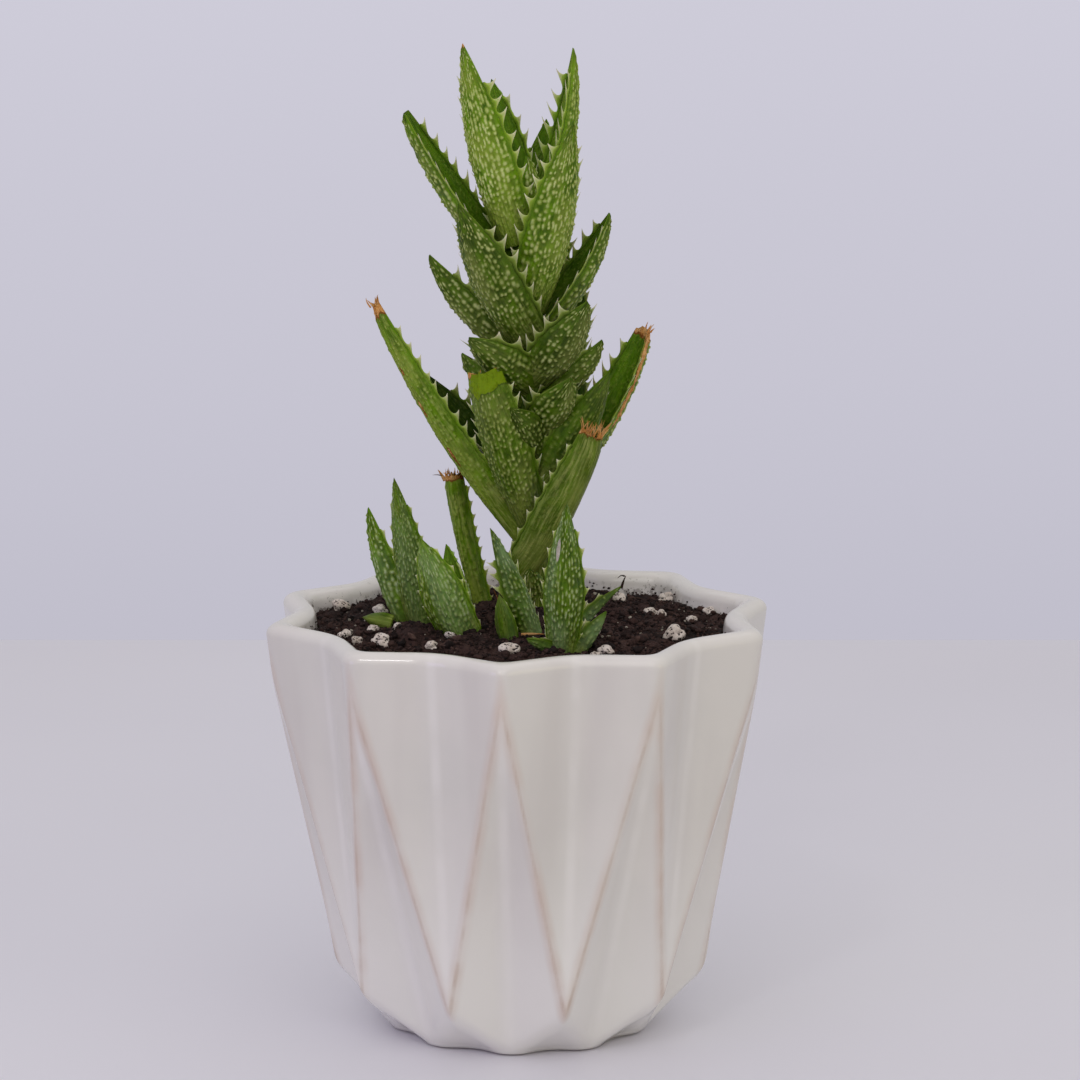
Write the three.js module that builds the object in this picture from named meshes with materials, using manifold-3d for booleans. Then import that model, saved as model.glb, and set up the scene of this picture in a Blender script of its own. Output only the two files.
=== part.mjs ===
// A small aloe-like succulent in a faceted ceramic pot. Millimetres, +Z up, the front of the pot faces -Y,
// and the origin is the middle of the pot's underside.
import * as THREE from "three";
import { mergeVertices } from "three/addons/utils/BufferGeometryUtils.js";
import Module from "manifold-3d";

const wasm = await Module();
wasm.setup();

// ---- Driving dimensions -------------------------------------------------------------------------------

// The pot's wall is a zigzag in plan. A "point" is an outer corner of the star at the rim, a "dent" lies
// halfway between two points.
const POT = {
  points: 10,
  firstPointDeg: -3.8, // plan angle of one point, from the front towards +X
  rimZ: 99.4,
  rimPointR: 61.5,
  rimDentR: 52.9,
  elbowZ: 12, // the low corners of the facets
  elbowR: 43.3, // these stand under the dents
  footPointR: 31.5, // the foot's lobes stand under the points
  footDentR: 26.5,
  wall: 5.4,
  lipRound: 2.4,
  floorZ: 7, // inside
  recessR: 18, // hollow under the foot
  recessDepth: 1.5,
};

const GAP = 0.35; // clearance between touching pieces
const LEAST_EDGE = 0.01; // shorter edges are dropped from joined solids

const SOIL = {
  edgeZ: 94.2,
  crown: 2, // how far the middle is heaped above the edge
  lumpHeight: 0.6,
  rings: 8,
  spokes: 24,
  moundZ: 1.2, // extra heap round the tall stem
  moundR: 13,
};

// Teeth on the leaves' margins. "root" is half the tooth's width along the margin, "inset" how far its root
// reaches into the blade.
const TOOTH = { length: 2.4, root: 0.95, inset: 0.9, forward: 0.45, spacing: 4.6 };

// The tall stem's axis, from its foot in the soil to the growing tip.
const STEM_AXIS = [
  [2, 18, 80],
  [2, 18, 98],
  [4, 18, 122],
  [4, 18, 142],
  [1.5, 18, 168],
  [-1, 18, 192],
];
const STEM_FOOT_R = 5.2;
const STEM_TIP_R = 4;
const BUD_LENGTH = 7; // the cone of unopened leaves at the growing tip
const LEAF_ROOT_R = 2.2; // how far from the axis a leaf's channel starts

// Leaves of the tall stem, from the top down. "from" is the height at which the leaf leaves the stem.
// "facing" is the plan angle, in degrees from the front towards +X, that its rounded back looks to. "bow" is
// how far its middle bulges that way, as a share of its length. "end" is the width left at a cut or torn tip,
// as a share of the width.
const TALL_LEAVES = [
  { from: 184, tip: [-13, 8, 231.5], facing: -14, width: 13.5, thick: 3.2, bow: 0.05 },
  { from: 186, tip: [-6.5, 29, 220.5], facing: 168, width: 11, thick: 3, bow: 0.05 },
  { from: 182, tip: [12.5, 27, 228.5], facing: 118, width: 11, thick: 3, bow: 0.06 },
  { from: 167, tip: [12.5, 9, 213.5], facing: 20, width: 14, thick: 3.4, bow: 0.06 },
  { from: 176, tip: [-27, 15, 215], facing: -112, width: 10, thick: 3, bow: 0.04 },
  { from: 160, tip: [-14, 3, 195], facing: -18, width: 15, thick: 3.6, bow: 0.07 },
  { from: 157, tip: [-21, 17, 181], facing: -72, width: 11, thick: 3.2, bow: 0.08 },
  { from: 162, tip: [21, 20, 190.5], facing: 122, width: 11, thick: 3.2, bow: 0.08 },
  { from: 151, tip: [15.8, 4, 172], facing: 34, width: 14, thick: 3.6, bow: 0.1 },
  { from: 150, tip: [-11.7, 4, 163.5], facing: -36, width: 13, thick: 3.4, bow: 0.06 },
  { from: 144, tip: [-13.5, 21, 157], facing: -95, width: 10, thick: 3, bow: 0.1 },
  { from: 145, tip: [19.3, 16, 161], facing: 78, width: 10.5, thick: 3, bow: 0.08 },
  { from: 139, tip: [12, 4, 154], facing: 32, width: 13, thick: 3.4, bow: 0.08 },
  { from: 134, tip: [-2, 3, 147], facing: -6, width: 12, thick: 3.2, bow: 0.08 },
  { from: 113, tip: [-34, 11, 171], facing: -62, width: 11, thick: 3.6, bow: 0.03, end: 0.3 },
  { from: 124, tip: [-21.5, 25, 151], facing: -118, width: 11, thick: 3.2, bow: 0.08 },
  { from: 116, tip: [-6, 2, 155.5], facing: -8, width: 12, thick: 4.2, bow: 0.03, end: 0.72 },
  { from: 124, tip: [21, 9, 154.5], facing: 42, width: 13, thick: 3.6, bow: 0.05 },
  { from: 122, tip: [30, 20, 163.5], facing: 124, width: 11, thick: 3.4, bow: 0.08, end: 0.35 },
  { from: 108, tip: [18, 5, 141], facing: 44, width: 10.5, thick: 4, bow: 0.04, end: 0.62 },
  { from: 98, tip: [2.5, 9, 107.5], facing: 2, width: 8.5, thick: 2.4, bow: 0.04 },
  { from: 188, tip: [1.5, 19.5, 204], facing: 60, width: 7, thick: 2.2, bow: 0.1 },
  { from: 188, tip: [-3, 18, 202], facing: 240, width: 7, thick: 2.2, bow: 0.1 },
];

// Leaves at the back of the tall stem, which climb it in two ranks.
const BACK_LEAVES = {
  count: 8,
  lowZ: 113,
  stepZ: 9.6,
  ranksDeg: [198, 152],
  length: 39,
  shorten: 0.9, // each leaf is this much shorter than the one below, in mm
  leanDeg: 40, // from upright, of the lowest
  straighten: 2.4, // degrees less lean for each leaf up
  width: 13,
  thick: 3.4,
  bow: 0.12,
};

// Each young plant grows from a short round foot in the soil: foot [x, y], footR.
const PUP_LEFT = {
  name: "pup_left",
  foot: [-23.6, 4.6],
  footR: 7.3,
  color: 0x4f8a35,
  leaves: [
    { base: [-25.5, 6, 93], tip: [-35.4, 8, 122.4], facing: -60, width: 8, thick: 2.8, bow: 0.04 },
    { base: [-22, 3.5, 93], tip: [-29.2, 0, 131], facing: -12, width: 10.8, thick: 3.6, bow: 0.04 },
    { base: [-22, 6.5, 93.5], tip: [-22, 16, 111], facing: 170, width: 7.5, thick: 2.6, bow: 0.05 },
  ],
};
const PUP_LEFT_FRONT = {
  name: "pup_left_front",
  foot: [-13, -7.5],
  footR: 6.9,
  color: 0x4f8a35,
  leaves: [
    { base: [-13, -8.5, 93], tip: [-22.9, -14, 119.6], facing: -8, width: 11.5, thick: 3.6, bow: 0.08 },
    { base: [-12.5, -4.5, 93], tip: [-17.2, 2, 114.8], facing: 150, width: 8.5, thick: 2.6, bow: 0.05 },
  ],
};
const PUP_MIDDLE = {
  name: "pup_middle",
  foot: [1, -12],
  footR: 6.2,
  color: 0x3f7a2c,
  leaves: [
    { base: [4.2, -11.5, 93], tip: [-6.8, -8, 120.6], facing: 30, width: 6.8, thick: 2.6, bow: 0.04 },
    { base: [-2.2, -13.6, 93], tip: [-4.6, -16, 106.6], facing: -15, width: 5.4, thick: 2, bow: 0.04 },
    { base: [-0.6, -9.8, 93], tip: [-1, -9, 105.4], facing: 10, width: 2.8, thick: 1.6, bow: 0 },
  ],
};
const PUP_FRONT = {
  name: "pup_front",
  foot: [10.8, -27],
  footR: 6,
  color: 0x4f8a35,
  leaves: [
    {
      base: [9.8, -27.5, 92],
      tip: [11, -31, 131],
      facing: -6,
      width: 10.6,
      thick: 4.4,
      bow: 0.05,
      waist: 0.5,
    },
    { base: [8, -28.5, 96.5], tip: [1.8, -31.5, 99.6], facing: -60, width: 5, thick: 1.6, bow: 0 },
    { base: [12, -26, 95], tip: [23.8, -16, 110.4], facing: 120, width: 4.8, thick: 2, bow: 0.03 },
    { base: [12.5, -27.6, 94.5], tip: [20, -24, 104.3], facing: 95, width: 5.5, thick: 2, bow: 0.02 },
    { base: [9.5, -25, 93], tip: [7, -20.5, 103], facing: 200, width: 5, thick: 2, bow: 0.04 },
  ],
};
// One old leaf, cut off near its top and dried there.
const STUB = {
  name: "leaf_stub",
  foot: [-8.8, 24.5],
  footR: 3.5,
  color: 0x6b8a3c,
  leaves: [
    {
      base: [-8.8, 24.5, 92],
      tip: [-16.1, 24, 127.3],
      facing: 30,
      width: 5.2,
      thick: 3.4,
      bow: 0.04,
      end: 0.8,
    },
  ],
};
const YOUNG_PLANTS = [PUP_LEFT, PUP_LEFT_FRONT, PUP_MIDDLE, PUP_FRONT, STUB];

// The loose piece of leaf on the soil.
const FRAGMENT = {
  base: [-31, -1.5, 97.5],
  tip: [-37, 2.5, 98.2],
  facing: 214,
  width: 4.4,
  thick: 1.6,
  bow: 0.08,
};

// Perlite grains on the soil: [x, y, size across].
const GRAINS = [
  [-42.5, 20.5, 5], [-33, 13.5, 4], [-27.5, 13, 3.4], [-28.4, -3.8, 2.6], [-31.5, -21, 5],
  [-34, -8, 3], [-40.5, -10, 3.4], [-37.5, -16.5, 2.6], [-20, -28, 3], [-2, -30, 5.2],
  [-16, -17, 2.6], [20, -28.5, 4], [17.5, -14, 2.6], [17.5, -32.5, 2.6], [36, -14.5, 5.4],
  [33.5, 9.5, 2.8], [31, 13.5, 3.4], [35, 33, 3.8], [40.5, 7, 2.8], [45, 17, 3],
  [24, 28, 3.2],
];

// ---- Helpers ------------------------------------------------------------------------------------------

// A repeatable random number source, 0 to 1.
function randomFrom(seed) {
  let state = seed >>> 0;
  return () => {
    state = (state * 1664525 + 1013904223) >>> 0;
    return state / 4294967296;
  };
}

const vec = (p) => new THREE.Vector3(p[0], p[1], p[2]);
const rad = THREE.MathUtils.degToRad;

// A point at plan angle "deg" from the front towards +X, "r" from the axis.
const around = (deg, r, z) => new THREE.Vector3(r * Math.sin(rad(deg)), -r * Math.cos(rad(deg)), z);

// A closed surface through rings of points. Each ring has as many points as the next, and the two ends are
// closed by a fan to startCap and endCap. Where splitOdd(ring, point) is true the quad takes its other
// diagonal.
function loft(rings, startCap, endCap, splitOdd = () => false) {
  const sides = rings[0].length;
  const points = [...rings.flat(), startCap, endCap];
  const start = points.length - 2;
  const end = points.length - 1;
  const faces = [];
  rings.slice(1).forEach((_, r) => {
    for (let i = 0; i < sides; i++) {
      const a = r * sides + i;
      const b = r * sides + ((i + 1) % sides);
      const c = b + sides;
      const d = a + sides;
      if (splitOdd(r, i)) faces.push(a, b, d, b, c, d);
      else faces.push(a, b, c, a, c, d);
    }
  });
  const last = (rings.length - 1) * sides;
  for (let i = 0; i < sides; i++) {
    const j = (i + 1) % sides;
    faces.push(start, j, i);
    faces.push(end, last + i, last + j);
  }
  const geometry = new THREE.BufferGeometry().setFromPoints(points);
  geometry.setIndex(faces);
  return geometry;
}

function toSolid(geometry) {
  const bare = geometry.clone();
  bare.deleteAttribute("normal");
  bare.deleteAttribute("uv");
  const merged = mergeVertices(bare, 1e-4);
  const solid = new wasm.Manifold(
    new wasm.Mesh({
      numProp: 3,
      vertProperties: merged.attributes.position.array,
      triVerts: new Uint32Array(merged.index.array),
    }),
  );
  if (solid.volume() <= 0) throw new Error("a shape is inside out");
  return solid;
}

function toGeometry(solid) {
  const mesh = solid.getMesh();
  const geometry = new THREE.BufferGeometry();
  geometry.setAttribute("position", new THREE.BufferAttribute(mesh.vertProperties, 3));
  geometry.setIndex(new THREE.BufferAttribute(mesh.triVerts, 1));
  geometry.computeVertexNormals();
  return geometry;
}

// One solid from many. Sealed hollows, loose scraps and the tiny edges that the joining leaves are dropped.
function join(solids) {
  const bodies = solids.reduce((whole, next) => whole.add(next)).decompose();
  const largest = bodies.reduce((most, body) => (body.volume() > most.volume() ? body : most));
  return largest.simplify(LEAST_EDGE);
}

function addPiece(group, name, geometry, color, roughness) {
  const material = new THREE.MeshStandardMaterial({ color, roughness, metalness: 0, flatShading: true });
  const mesh = new THREE.Mesh(geometry, material);
  mesh.name = name;
  group.add(mesh);
}

// ---- Pot ----------------------------------------------------------------------------------------------

// Corner distances of the outer wall at height z: under the points, and under the dents. Between the rim
// and the elbow a point's valley runs straight to the foot's lobe, and a dent's runs out to the elbow.
function wallRadii(z) {
  const { rimZ, elbowZ, rimPointR, rimDentR, elbowR, footPointR, footDentR } = POT;
  const point = THREE.MathUtils.mapLinear(z, 0, rimZ, footPointR, rimPointR);
  const dent =
    z > elbowZ
      ? THREE.MathUtils.mapLinear(z, elbowZ, rimZ, elbowR, rimDentR)
      : THREE.MathUtils.mapLinear(z, 0, elbowZ, footDentR, elbowR);
  return [point, dent];
}

// One turn of the star, with its corners moved in by "inset", measured square to the wall.
function starRing([pointR, dentR], z, inset = 0) {
  const half = 180 / POT.points;
  const point = around(0, pointR, 0);
  const dent = around(half, dentR, 0);
  const edge = dent.clone().sub(point);
  const atPoint = inset / Math.sin(edge.angleTo(point.clone().negate()));
  const atDent = inset / Math.sin(edge.clone().negate().angleTo(dent.clone().negate()));
  return Array.from({ length: 2 * POT.points }, (_, i) => {
    const r = i % 2 ? dentR - atDent : pointR - atPoint;
    return around(POT.firstPointDeg + i * half, r, z);
  });
}

function potGeometry() {
  const { rimZ, elbowZ, wall, lipRound, floorZ, recessR, recessDepth } = POT;
  const circle = (r, z) => starRing([r, r], z);
  const lipZ = rimZ - lipRound;
  const lip = wallRadii(lipZ);
  const rings = [
    circle(recessR - 1, recessDepth),
    circle(recessR, 0),
    starRing(wallRadii(0), 0),
    starRing(wallRadii(elbowZ), elbowZ),
    starRing(lip, lipZ),
    starRing(lip, rimZ - 0.3 * lipRound, 0.3 * lipRound),
    starRing(lip, rimZ, lipRound),
    starRing(lip, rimZ, wall - 0.8 * lipRound),
    starRing(lip, lipZ, wall),
    starRing(wallRadii(elbowZ + 2), elbowZ + 2, wall),
    starRing(wallRadii(0), floorZ, 1),
  ];
  // The facets' sharp edges run from each point at the rim to the elbows beside it, and from each elbow
  // to the foot's lobes, inside as outside.
  const splitOdd = (r, i) => {
    const dentFirst = i % 2 === 1;
    if (r === 2 || r === 8) return dentFirst;
    if (r === 3 || r === 9) return !dentFirst;
    return false;
  };
  return loft(rings, new THREE.Vector3(0, 0, recessDepth), new THREE.Vector3(0, 0, floorZ), splitOdd);
}

// ---- Leaves -------------------------------------------------------------------------------------------

// The leaf's frame at share t of its length: centre, along, out (the way its back looks) and across.
function leafFrame(leaf, t) {
  const base = vec(leaf.base);
  const tip = vec(leaf.tip);
  const facing = around(leaf.facing, 1, 0);
  const length = base.distanceTo(tip);
  const middle = base.clone().add(tip).multiplyScalar(0.5).addScaledVector(facing, 2 * leaf.bow * length);
  const curve = new THREE.QuadraticBezierCurve3(base, middle, tip);
  const along = curve.getTangent(t);
  const out = facing.clone().addScaledVector(along, -facing.dot(along)).normalize();
  const across = along.clone().cross(out);
  return { centre: curve.getPoint(t), along, out, across, length };
}

// The share of the leaf's width that is left at share t of its length. "waist" is the share at its base.
function taper(leaf, t) {
  const { end = 0, waist = 0.82 } = leaf;
  const rise = Math.min(1, waist + 2.2 * (1 - waist) * t);
  return rise * (end + (1 - end) * (1 - Math.pow(t, 2.7)));
}

const FOLD = 0.5; // how far the margins lift off the channel, as a share of the half width
const BACK_SIDE = 0.66; // where the back turns over, as a share of the half width

// Points of the leaf's surface at share t of its length. side is -1 or 1.
function leafPoints(leaf, t) {
  const { centre, along, out, across } = leafFrame(leaf, t);
  const half = (leaf.width / 2) * taper(leaf, t);
  const thick = leaf.thick * (0.3 + 0.7 * taper(leaf, t));
  const at = (shift, rise) => centre.clone().addScaledVector(across, shift).addScaledVector(out, rise);
  const turn = 0.62 * thick - (1 - BACK_SIDE) * FOLD * half;
  return {
    half,
    along,
    out,
    across,
    channel: at(0, 0),
    keel: at(0, thick),
    margin: (side) => at(side * half, -FOLD * half),
    back: (side) => at(side * BACK_SIDE * half, turn),
  };
}

// Where the teeth of a margin stand, as shares of the leaf's length, with each tooth's size.
function teethOf(leaf, lowest, random) {
  const length = vec(leaf.base).distanceTo(vec(leaf.tip));
  const spacing = TOOTH.spacing * Math.min(1, 0.5 + leaf.width / 24);
  const count = Math.floor((0.86 * length) / spacing);
  const teeth = [];
  for (let k = 0; k < count; k++) {
    const t = 0.06 + (0.84 * (k + 0.4 * random())) / count;
    const size = Math.min(1, leaf.width / 11) * (0.6 + 0.4 * Math.sin(Math.PI * Math.min(1, t + 0.1)));
    if (leafPoints(leaf, t).channel.z > lowest) teeth.push({ t, size, root: (size * TOOTH.root) / length });
  }
  return teeth;
}

// A channelled blade: two toothed margins, a hollow upper face, and a rounded back. Its surface is strips
// between rows of points that run from base to tip. Each margin has two rows, one that borders the upper
// face and one that borders the back. They part round the root of each tooth, and the tooth closes the gap.
function leafGeometry(leaf, lowest, random) {
  const stations = leaf.end ? [0, 0.3, 0.65, 0.88, 1] : [0, 0.25, 0.5, 0.72, 0.88];
  const lastT = stations[stations.length - 1];
  const points = [];
  const faces = [];
  const add = (point) => points.push(point) - 1;
  const row = (pointAt) => stations.map((t) => ({ t, index: add(pointAt(leafPoints(leaf, t))) }));

  const channel = row((p) => p.channel);
  const keel = row((p) => p.keel);
  const backs = new Map([-1, 1].map((side) => [side, row((p) => p.back(side))]));
  const edges = new Map([-1, 1].map((side) => [side, marginRows(side)]));

  function marginRows(side) {
    const marginAt = (t) => ({ t, index: add(leafPoints(leaf, t).margin(side)) });
    const first = marginAt(0);
    const upper = [first];
    const under = [first];
    const teeth = teethOf(leaf, lowest, random).filter(({ t, root }) => t - root > 0 && t + root < lastT);
    for (const { t, size, root } of teeth) {
      const p = leafPoints(leaf, t);
      const margin = p.margin(side);
      const inset = Math.min(TOOTH.inset * size, 0.3 * p.half);
      const way = p.across.clone().multiplyScalar(side).addScaledVector(p.out, -0.35);
      const point = way.addScaledVector(p.along, TOOTH.forward).setLength(TOOTH.length * size);
      const apex = add(point.add(margin));
      const start = marginAt(t - root);
      const end = marginAt(t + root);
      const onFace = { t, index: add(margin.clone().lerp(p.channel, inset / p.half)) };
      const share = inset / ((1 - BACK_SIDE) * p.half + p.half * FOLD);
      const onBack = { t, index: add(margin.clone().lerp(p.back(side), Math.min(0.6, share))) };
      upper.push(start, onFace, end);
      under.push(start, onBack, end);
      const ring = [start, onFace, end, onBack].map((corner) => corner.index);
      if (side > 0) ring.reverse();
      ring.forEach((corner, i) => faces.push(ring[(i + 1) % 4], corner, apex));
    }
    const last = marginAt(lastT);
    upper.push(last);
    under.push(last);
    return { upper, under };
  }

  // Fills the strip between two rows, going up whichever row has the lower next point.
  function strip(a, b) {
    let i = 0;
    let j = 0;
    while (i < a.length - 1 || j < b.length - 1) {
      const climbB = i === a.length - 1 || (j < b.length - 1 && b[j + 1].t <= a[i + 1].t);
      if (climbB) faces.push(a[i].index, b[j].index, b[++j].index);
      else faces.push(a[i].index, b[j].index, a[++i].index);
    }
  }
  const left = edges.get(-1);
  const right = edges.get(1);
  strip(backs.get(-1), keel);
  strip(keel, backs.get(1));
  strip(backs.get(1), right.under);
  strip(right.upper, channel);
  strip(channel, left.upper);
  strip(left.under, backs.get(-1));

  const capAt = (t, share) => {
    const { channel: low, keel: high } = leafPoints(leaf, t);
    return add(low.lerp(high, share));
  };
  const base = capAt(0, 0.4);
  const tip = capAt(1, 0.4);
  const rows = [backs.get(-1), keel, backs.get(1), right.upper, channel, left.upper];
  rows.forEach((line, i) => {
    const next = rows[(i + 1) % rows.length];
    faces.push(base, next[0].index, line[0].index);
    faces.push(tip, line[line.length - 1].index, next[next.length - 1].index);
  });
  const geometry = new THREE.BufferGeometry().setFromPoints(points);
  geometry.setIndex(faces);
  return geometry;
}

const stemCurve = new THREE.CatmullRomCurve3(STEM_AXIS.map(vec));
const stemSpots = stemCurve.getPoints(120);

// Where a leaf that leaves the tall stem at height z starts.
function rootAt(z, facing) {
  return stemSpots.find((spot) => spot.z >= z).clone().add(around(facing, LEAF_ROOT_R, 0));
}

const onStem = (leaf) => ({ ...leaf, base: rootAt(leaf.from, leaf.facing).toArray() });

function backLeaves() {
  const { count, lowZ, stepZ, ranksDeg, leanDeg, straighten, shorten, width, thick, bow } = BACK_LEAVES;
  return Array.from({ length: count }, (_, i) => {
    const from = lowZ + i * stepZ;
    const facing = ranksDeg[i % 2] + (i % 3) * 4;
    const lean = rad(leanDeg - i * straighten);
    const length = BACK_LEAVES.length - i * shorten;
    const reach = around(facing, length * Math.sin(lean), length * Math.cos(lean));
    const tip = rootAt(from, facing).add(reach).toArray();
    return { from, tip, facing, width, thick, bow };
  });
}

// ---- Stems --------------------------------------------------------------------------------------------

// A round bar through the points of "axis", from radius r0 to r1, grown by "extra". Its top is a cone of
// height "bud".
function stemGeometry(axis, r0, r1, sides, extra = 0, bud = 0) {
  const curve = new THREE.CatmullRomCurve3(axis.map(vec));
  const steps = axis.length - 1;
  const rings = Array.from({ length: steps + 1 }, (_, k) => {
    const spot = curve.getPoint(k / steps);
    const r = THREE.MathUtils.lerp(r0, r1, k / steps) + extra;
    return Array.from({ length: sides }, (_, i) => around((360 * i) / sides, r, 0).add(spot));
  });
  const top = curve.getPoint(1);
  return loft(rings, curve.getPoint(0), top.setZ(top.z + bud));
}

const FOOT_Z = STEM_AXIS[0][2]; // how deep the stems stand
const OVER_SOIL_Z = 110;

// The round foot of a young plant, up to just under the soil's surface.
const footSolid = (plant, extra, topZ) => {
  const [x, y] = plant.foot;
  const bottom = FOOT_Z - extra;
  const axis = [[x, y, bottom], [x, y, (bottom + topZ) / 2], [x, y, topZ]];
  return toSolid(stemGeometry(axis, plant.footR, plant.footR, 12, extra));
};

function plantSolid(plant, random) {
  const [x, y] = plant.foot;
  const top = soilHeight(x, y) - 1;
  const leaves = plant.leaves.map((leaf) => toSolid(leafGeometry(leaf, top + 2, random)));
  return join([footSolid(plant, 0, top), ...leaves]);
}

// ---- Soil ---------------------------------------------------------------------------------------------

const lumpPhase = randomFrom(7);
const LUMPS = Array.from({ length: 7 }, () => ({
  way: 360 * lumpPhase(),
  wave: 9 + 12 * lumpPhase(),
  phase: 2 * Math.PI * lumpPhase(),
}));

function soilHeight(x, y) {
  const r = Math.hypot(x, y) / POT.rimDentR;
  const stem = Math.hypot(x - STEM_AXIS[0][0], y - STEM_AXIS[0][1]) / SOIL.moundR;
  const lumps = LUMPS.reduce((sum, { way, wave, phase }) => {
    const spot = around(way, 1, 0);
    return sum + Math.sin((2 * Math.PI * (x * spot.x + y * spot.y)) / wave + phase);
  }, 0);
  const mound = SOIL.moundZ * Math.exp(-stem * stem);
  return SOIL.edgeZ + SOIL.crown * Math.max(0, 1 - r * r) + mound + (SOIL.lumpHeight * lumps) / 3;
}

// The pot's hollow, a gap short of its walls and floor, from the floor up to topZ.
function hollowGeometry(topZ) {
  const { wall, floorZ, elbowZ } = POT;
  const inner = wallRadii(POT.rimZ - POT.lipRound);
  const rings = [
    starRing(wallRadii(0), floorZ + GAP, 1 + GAP),
    starRing(wallRadii(elbowZ + 2), elbowZ + 2, wall + GAP),
    starRing(inner, topZ, wall + GAP),
  ];
  const splitOdd = (r, i) => (r === 0 ? i % 2 === 1 : i % 2 === 0);
  return loft(rings, new THREE.Vector3(0, 0, floorZ + GAP), new THREE.Vector3(0, 0, topZ), splitOdd);
}

// A round block, wider than the pot, under the soil's heaped surface.
function heapGeometry() {
  const blockR = POT.rimPointR + 5;
  const ring = (r, height) =>
    Array.from({ length: SOIL.spokes }, (_, i) => {
      const spot = around((360 * i) / SOIL.spokes, r, 0);
      return spot.setZ(height ?? soilHeight(spot.x, spot.y));
    });
  const rings = [ring(blockR, 0)];
  for (let k = SOIL.rings; k > 0; k--) rings.push(ring((blockR * k) / SOIL.rings));
  return loft(rings, new THREE.Vector3(0, 0, 0), new THREE.Vector3(0, 0, soilHeight(0, 0)));
}

// ---- Small loose pieces -------------------------------------------------------------------------------

// An angular grain, made of an icosahedron with each corner moved in or out a little.
function grainGeometry([x, y, size], index, extra = 0) {
  const random = randomFrom(101 + index);
  const grain = mergeVertices(stripped(new THREE.IcosahedronGeometry(size / 2, 0)), 1e-3);
  const spots = grain.attributes.position;
  for (let i = 0; i < spots.count; i++) {
    const spot = new THREE.Vector3().fromBufferAttribute(spots, i);
    spot.multiplyScalar(0.82 + 0.25 * random() + (2 * extra) / size);
    spots.setXYZ(i, spot.x, spot.y, spot.z);
  }
  grain.scale(1, 0.85, 0.72);
  grain.rotateZ(2 * Math.PI * random());
  grain.translate(x, y, soilHeight(x, y) + 0.16 * size);
  return grain;
}

function stripped(geometry) {
  geometry.deleteAttribute("normal");
  geometry.deleteAttribute("uv");
  return geometry;
}

// ---- Assembly -----------------------------------------------------------------------------------------

const plant = new THREE.Group();
const random = randomFrom(2024);

addPiece(plant, "pot", toGeometry(toSolid(potGeometry())), 0xe9e4df, 0.18);

const tallStem = toSolid(stemGeometry(STEM_AXIS, STEM_FOOT_R, STEM_TIP_R, 10, 0, BUD_LENGTH));
const tallLeaves = [...TALL_LEAVES, ...backLeaves()].map((leaf) => {
  return toSolid(leafGeometry(onStem(leaf), 99.5, random));
});
addPiece(plant, "main_shoot", toGeometry(join([tallStem, ...tallLeaves])), 0x4c7a31, 0.5);

for (const young of YOUNG_PLANTS) {
  addPiece(plant, young.name, toGeometry(plantSolid(young, random)), young.color, 0.5);
}

// The soil has a round hole for each stem, and a socket under each grain.
const holes = YOUNG_PLANTS.map((young) => footSolid(young, GAP, OVER_SOIL_Z));
const [stemX, stemY] = STEM_AXIS[0];
const tallHoleAxis = [FOOT_Z - GAP, STEM_AXIS[1][2], OVER_SOIL_Z].map((z) => [stemX, stemY, z]);
holes.push(toSolid(stemGeometry(tallHoleAxis, STEM_FOOT_R, STEM_FOOT_R, 10, GAP)));
const sockets = GRAINS.map((grain, i) => toSolid(grainGeometry(grain, i, GAP)));
const heap = toSolid(hollowGeometry(POT.rimZ - POT.lipRound)).intersect(toSolid(heapGeometry()));
const soil = [...holes, ...sockets].reduce((rest, hole) => rest.subtract(hole), heap);
addPiece(plant, "soil", toGeometry(soil), 0x2c211c, 0.95);

addPiece(plant, "leaf_fragment", leafGeometry(FRAGMENT, 0, random), 0x4f9a3a, 0.5);
GRAINS.forEach((grain, i) => {
  const name = "perlite_" + String(i + 1).padStart(2, "0");
  addPiece(plant, name, grainGeometry(grain, i), 0xe6dfd2, 0.9);
});

export default plant;
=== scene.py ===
"""A small spotted, toothed succulent in a zigzag-walled glazed pot.

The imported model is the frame: every piece below stands where its CAD node stands. Lengths are in
millimetres until Parts.piece turns them into metres. Plan angles run from the front (-Y) towards +X.
"""

import math

import bmesh
import bpy
import numpy as np
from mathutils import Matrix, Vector


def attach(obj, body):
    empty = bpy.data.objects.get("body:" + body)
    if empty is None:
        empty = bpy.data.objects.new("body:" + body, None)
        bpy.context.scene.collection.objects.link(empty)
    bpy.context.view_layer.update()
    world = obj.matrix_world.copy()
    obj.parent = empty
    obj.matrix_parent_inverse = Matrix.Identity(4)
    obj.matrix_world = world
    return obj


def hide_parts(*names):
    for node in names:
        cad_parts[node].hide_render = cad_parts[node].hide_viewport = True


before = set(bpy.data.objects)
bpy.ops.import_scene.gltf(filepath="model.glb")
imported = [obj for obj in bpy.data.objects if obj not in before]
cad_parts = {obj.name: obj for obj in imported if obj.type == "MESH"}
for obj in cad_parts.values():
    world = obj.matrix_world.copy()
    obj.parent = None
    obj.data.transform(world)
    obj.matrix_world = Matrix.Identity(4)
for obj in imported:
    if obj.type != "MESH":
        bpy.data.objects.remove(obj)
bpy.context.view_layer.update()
MM = 0.001

# ---- Driving dimensions ----
# The pot, the soil and the stem measure what the solids do. Some leaves are turned and shaped a little
# more closely to the photo than their solids, and the teeth are longer.

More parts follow.
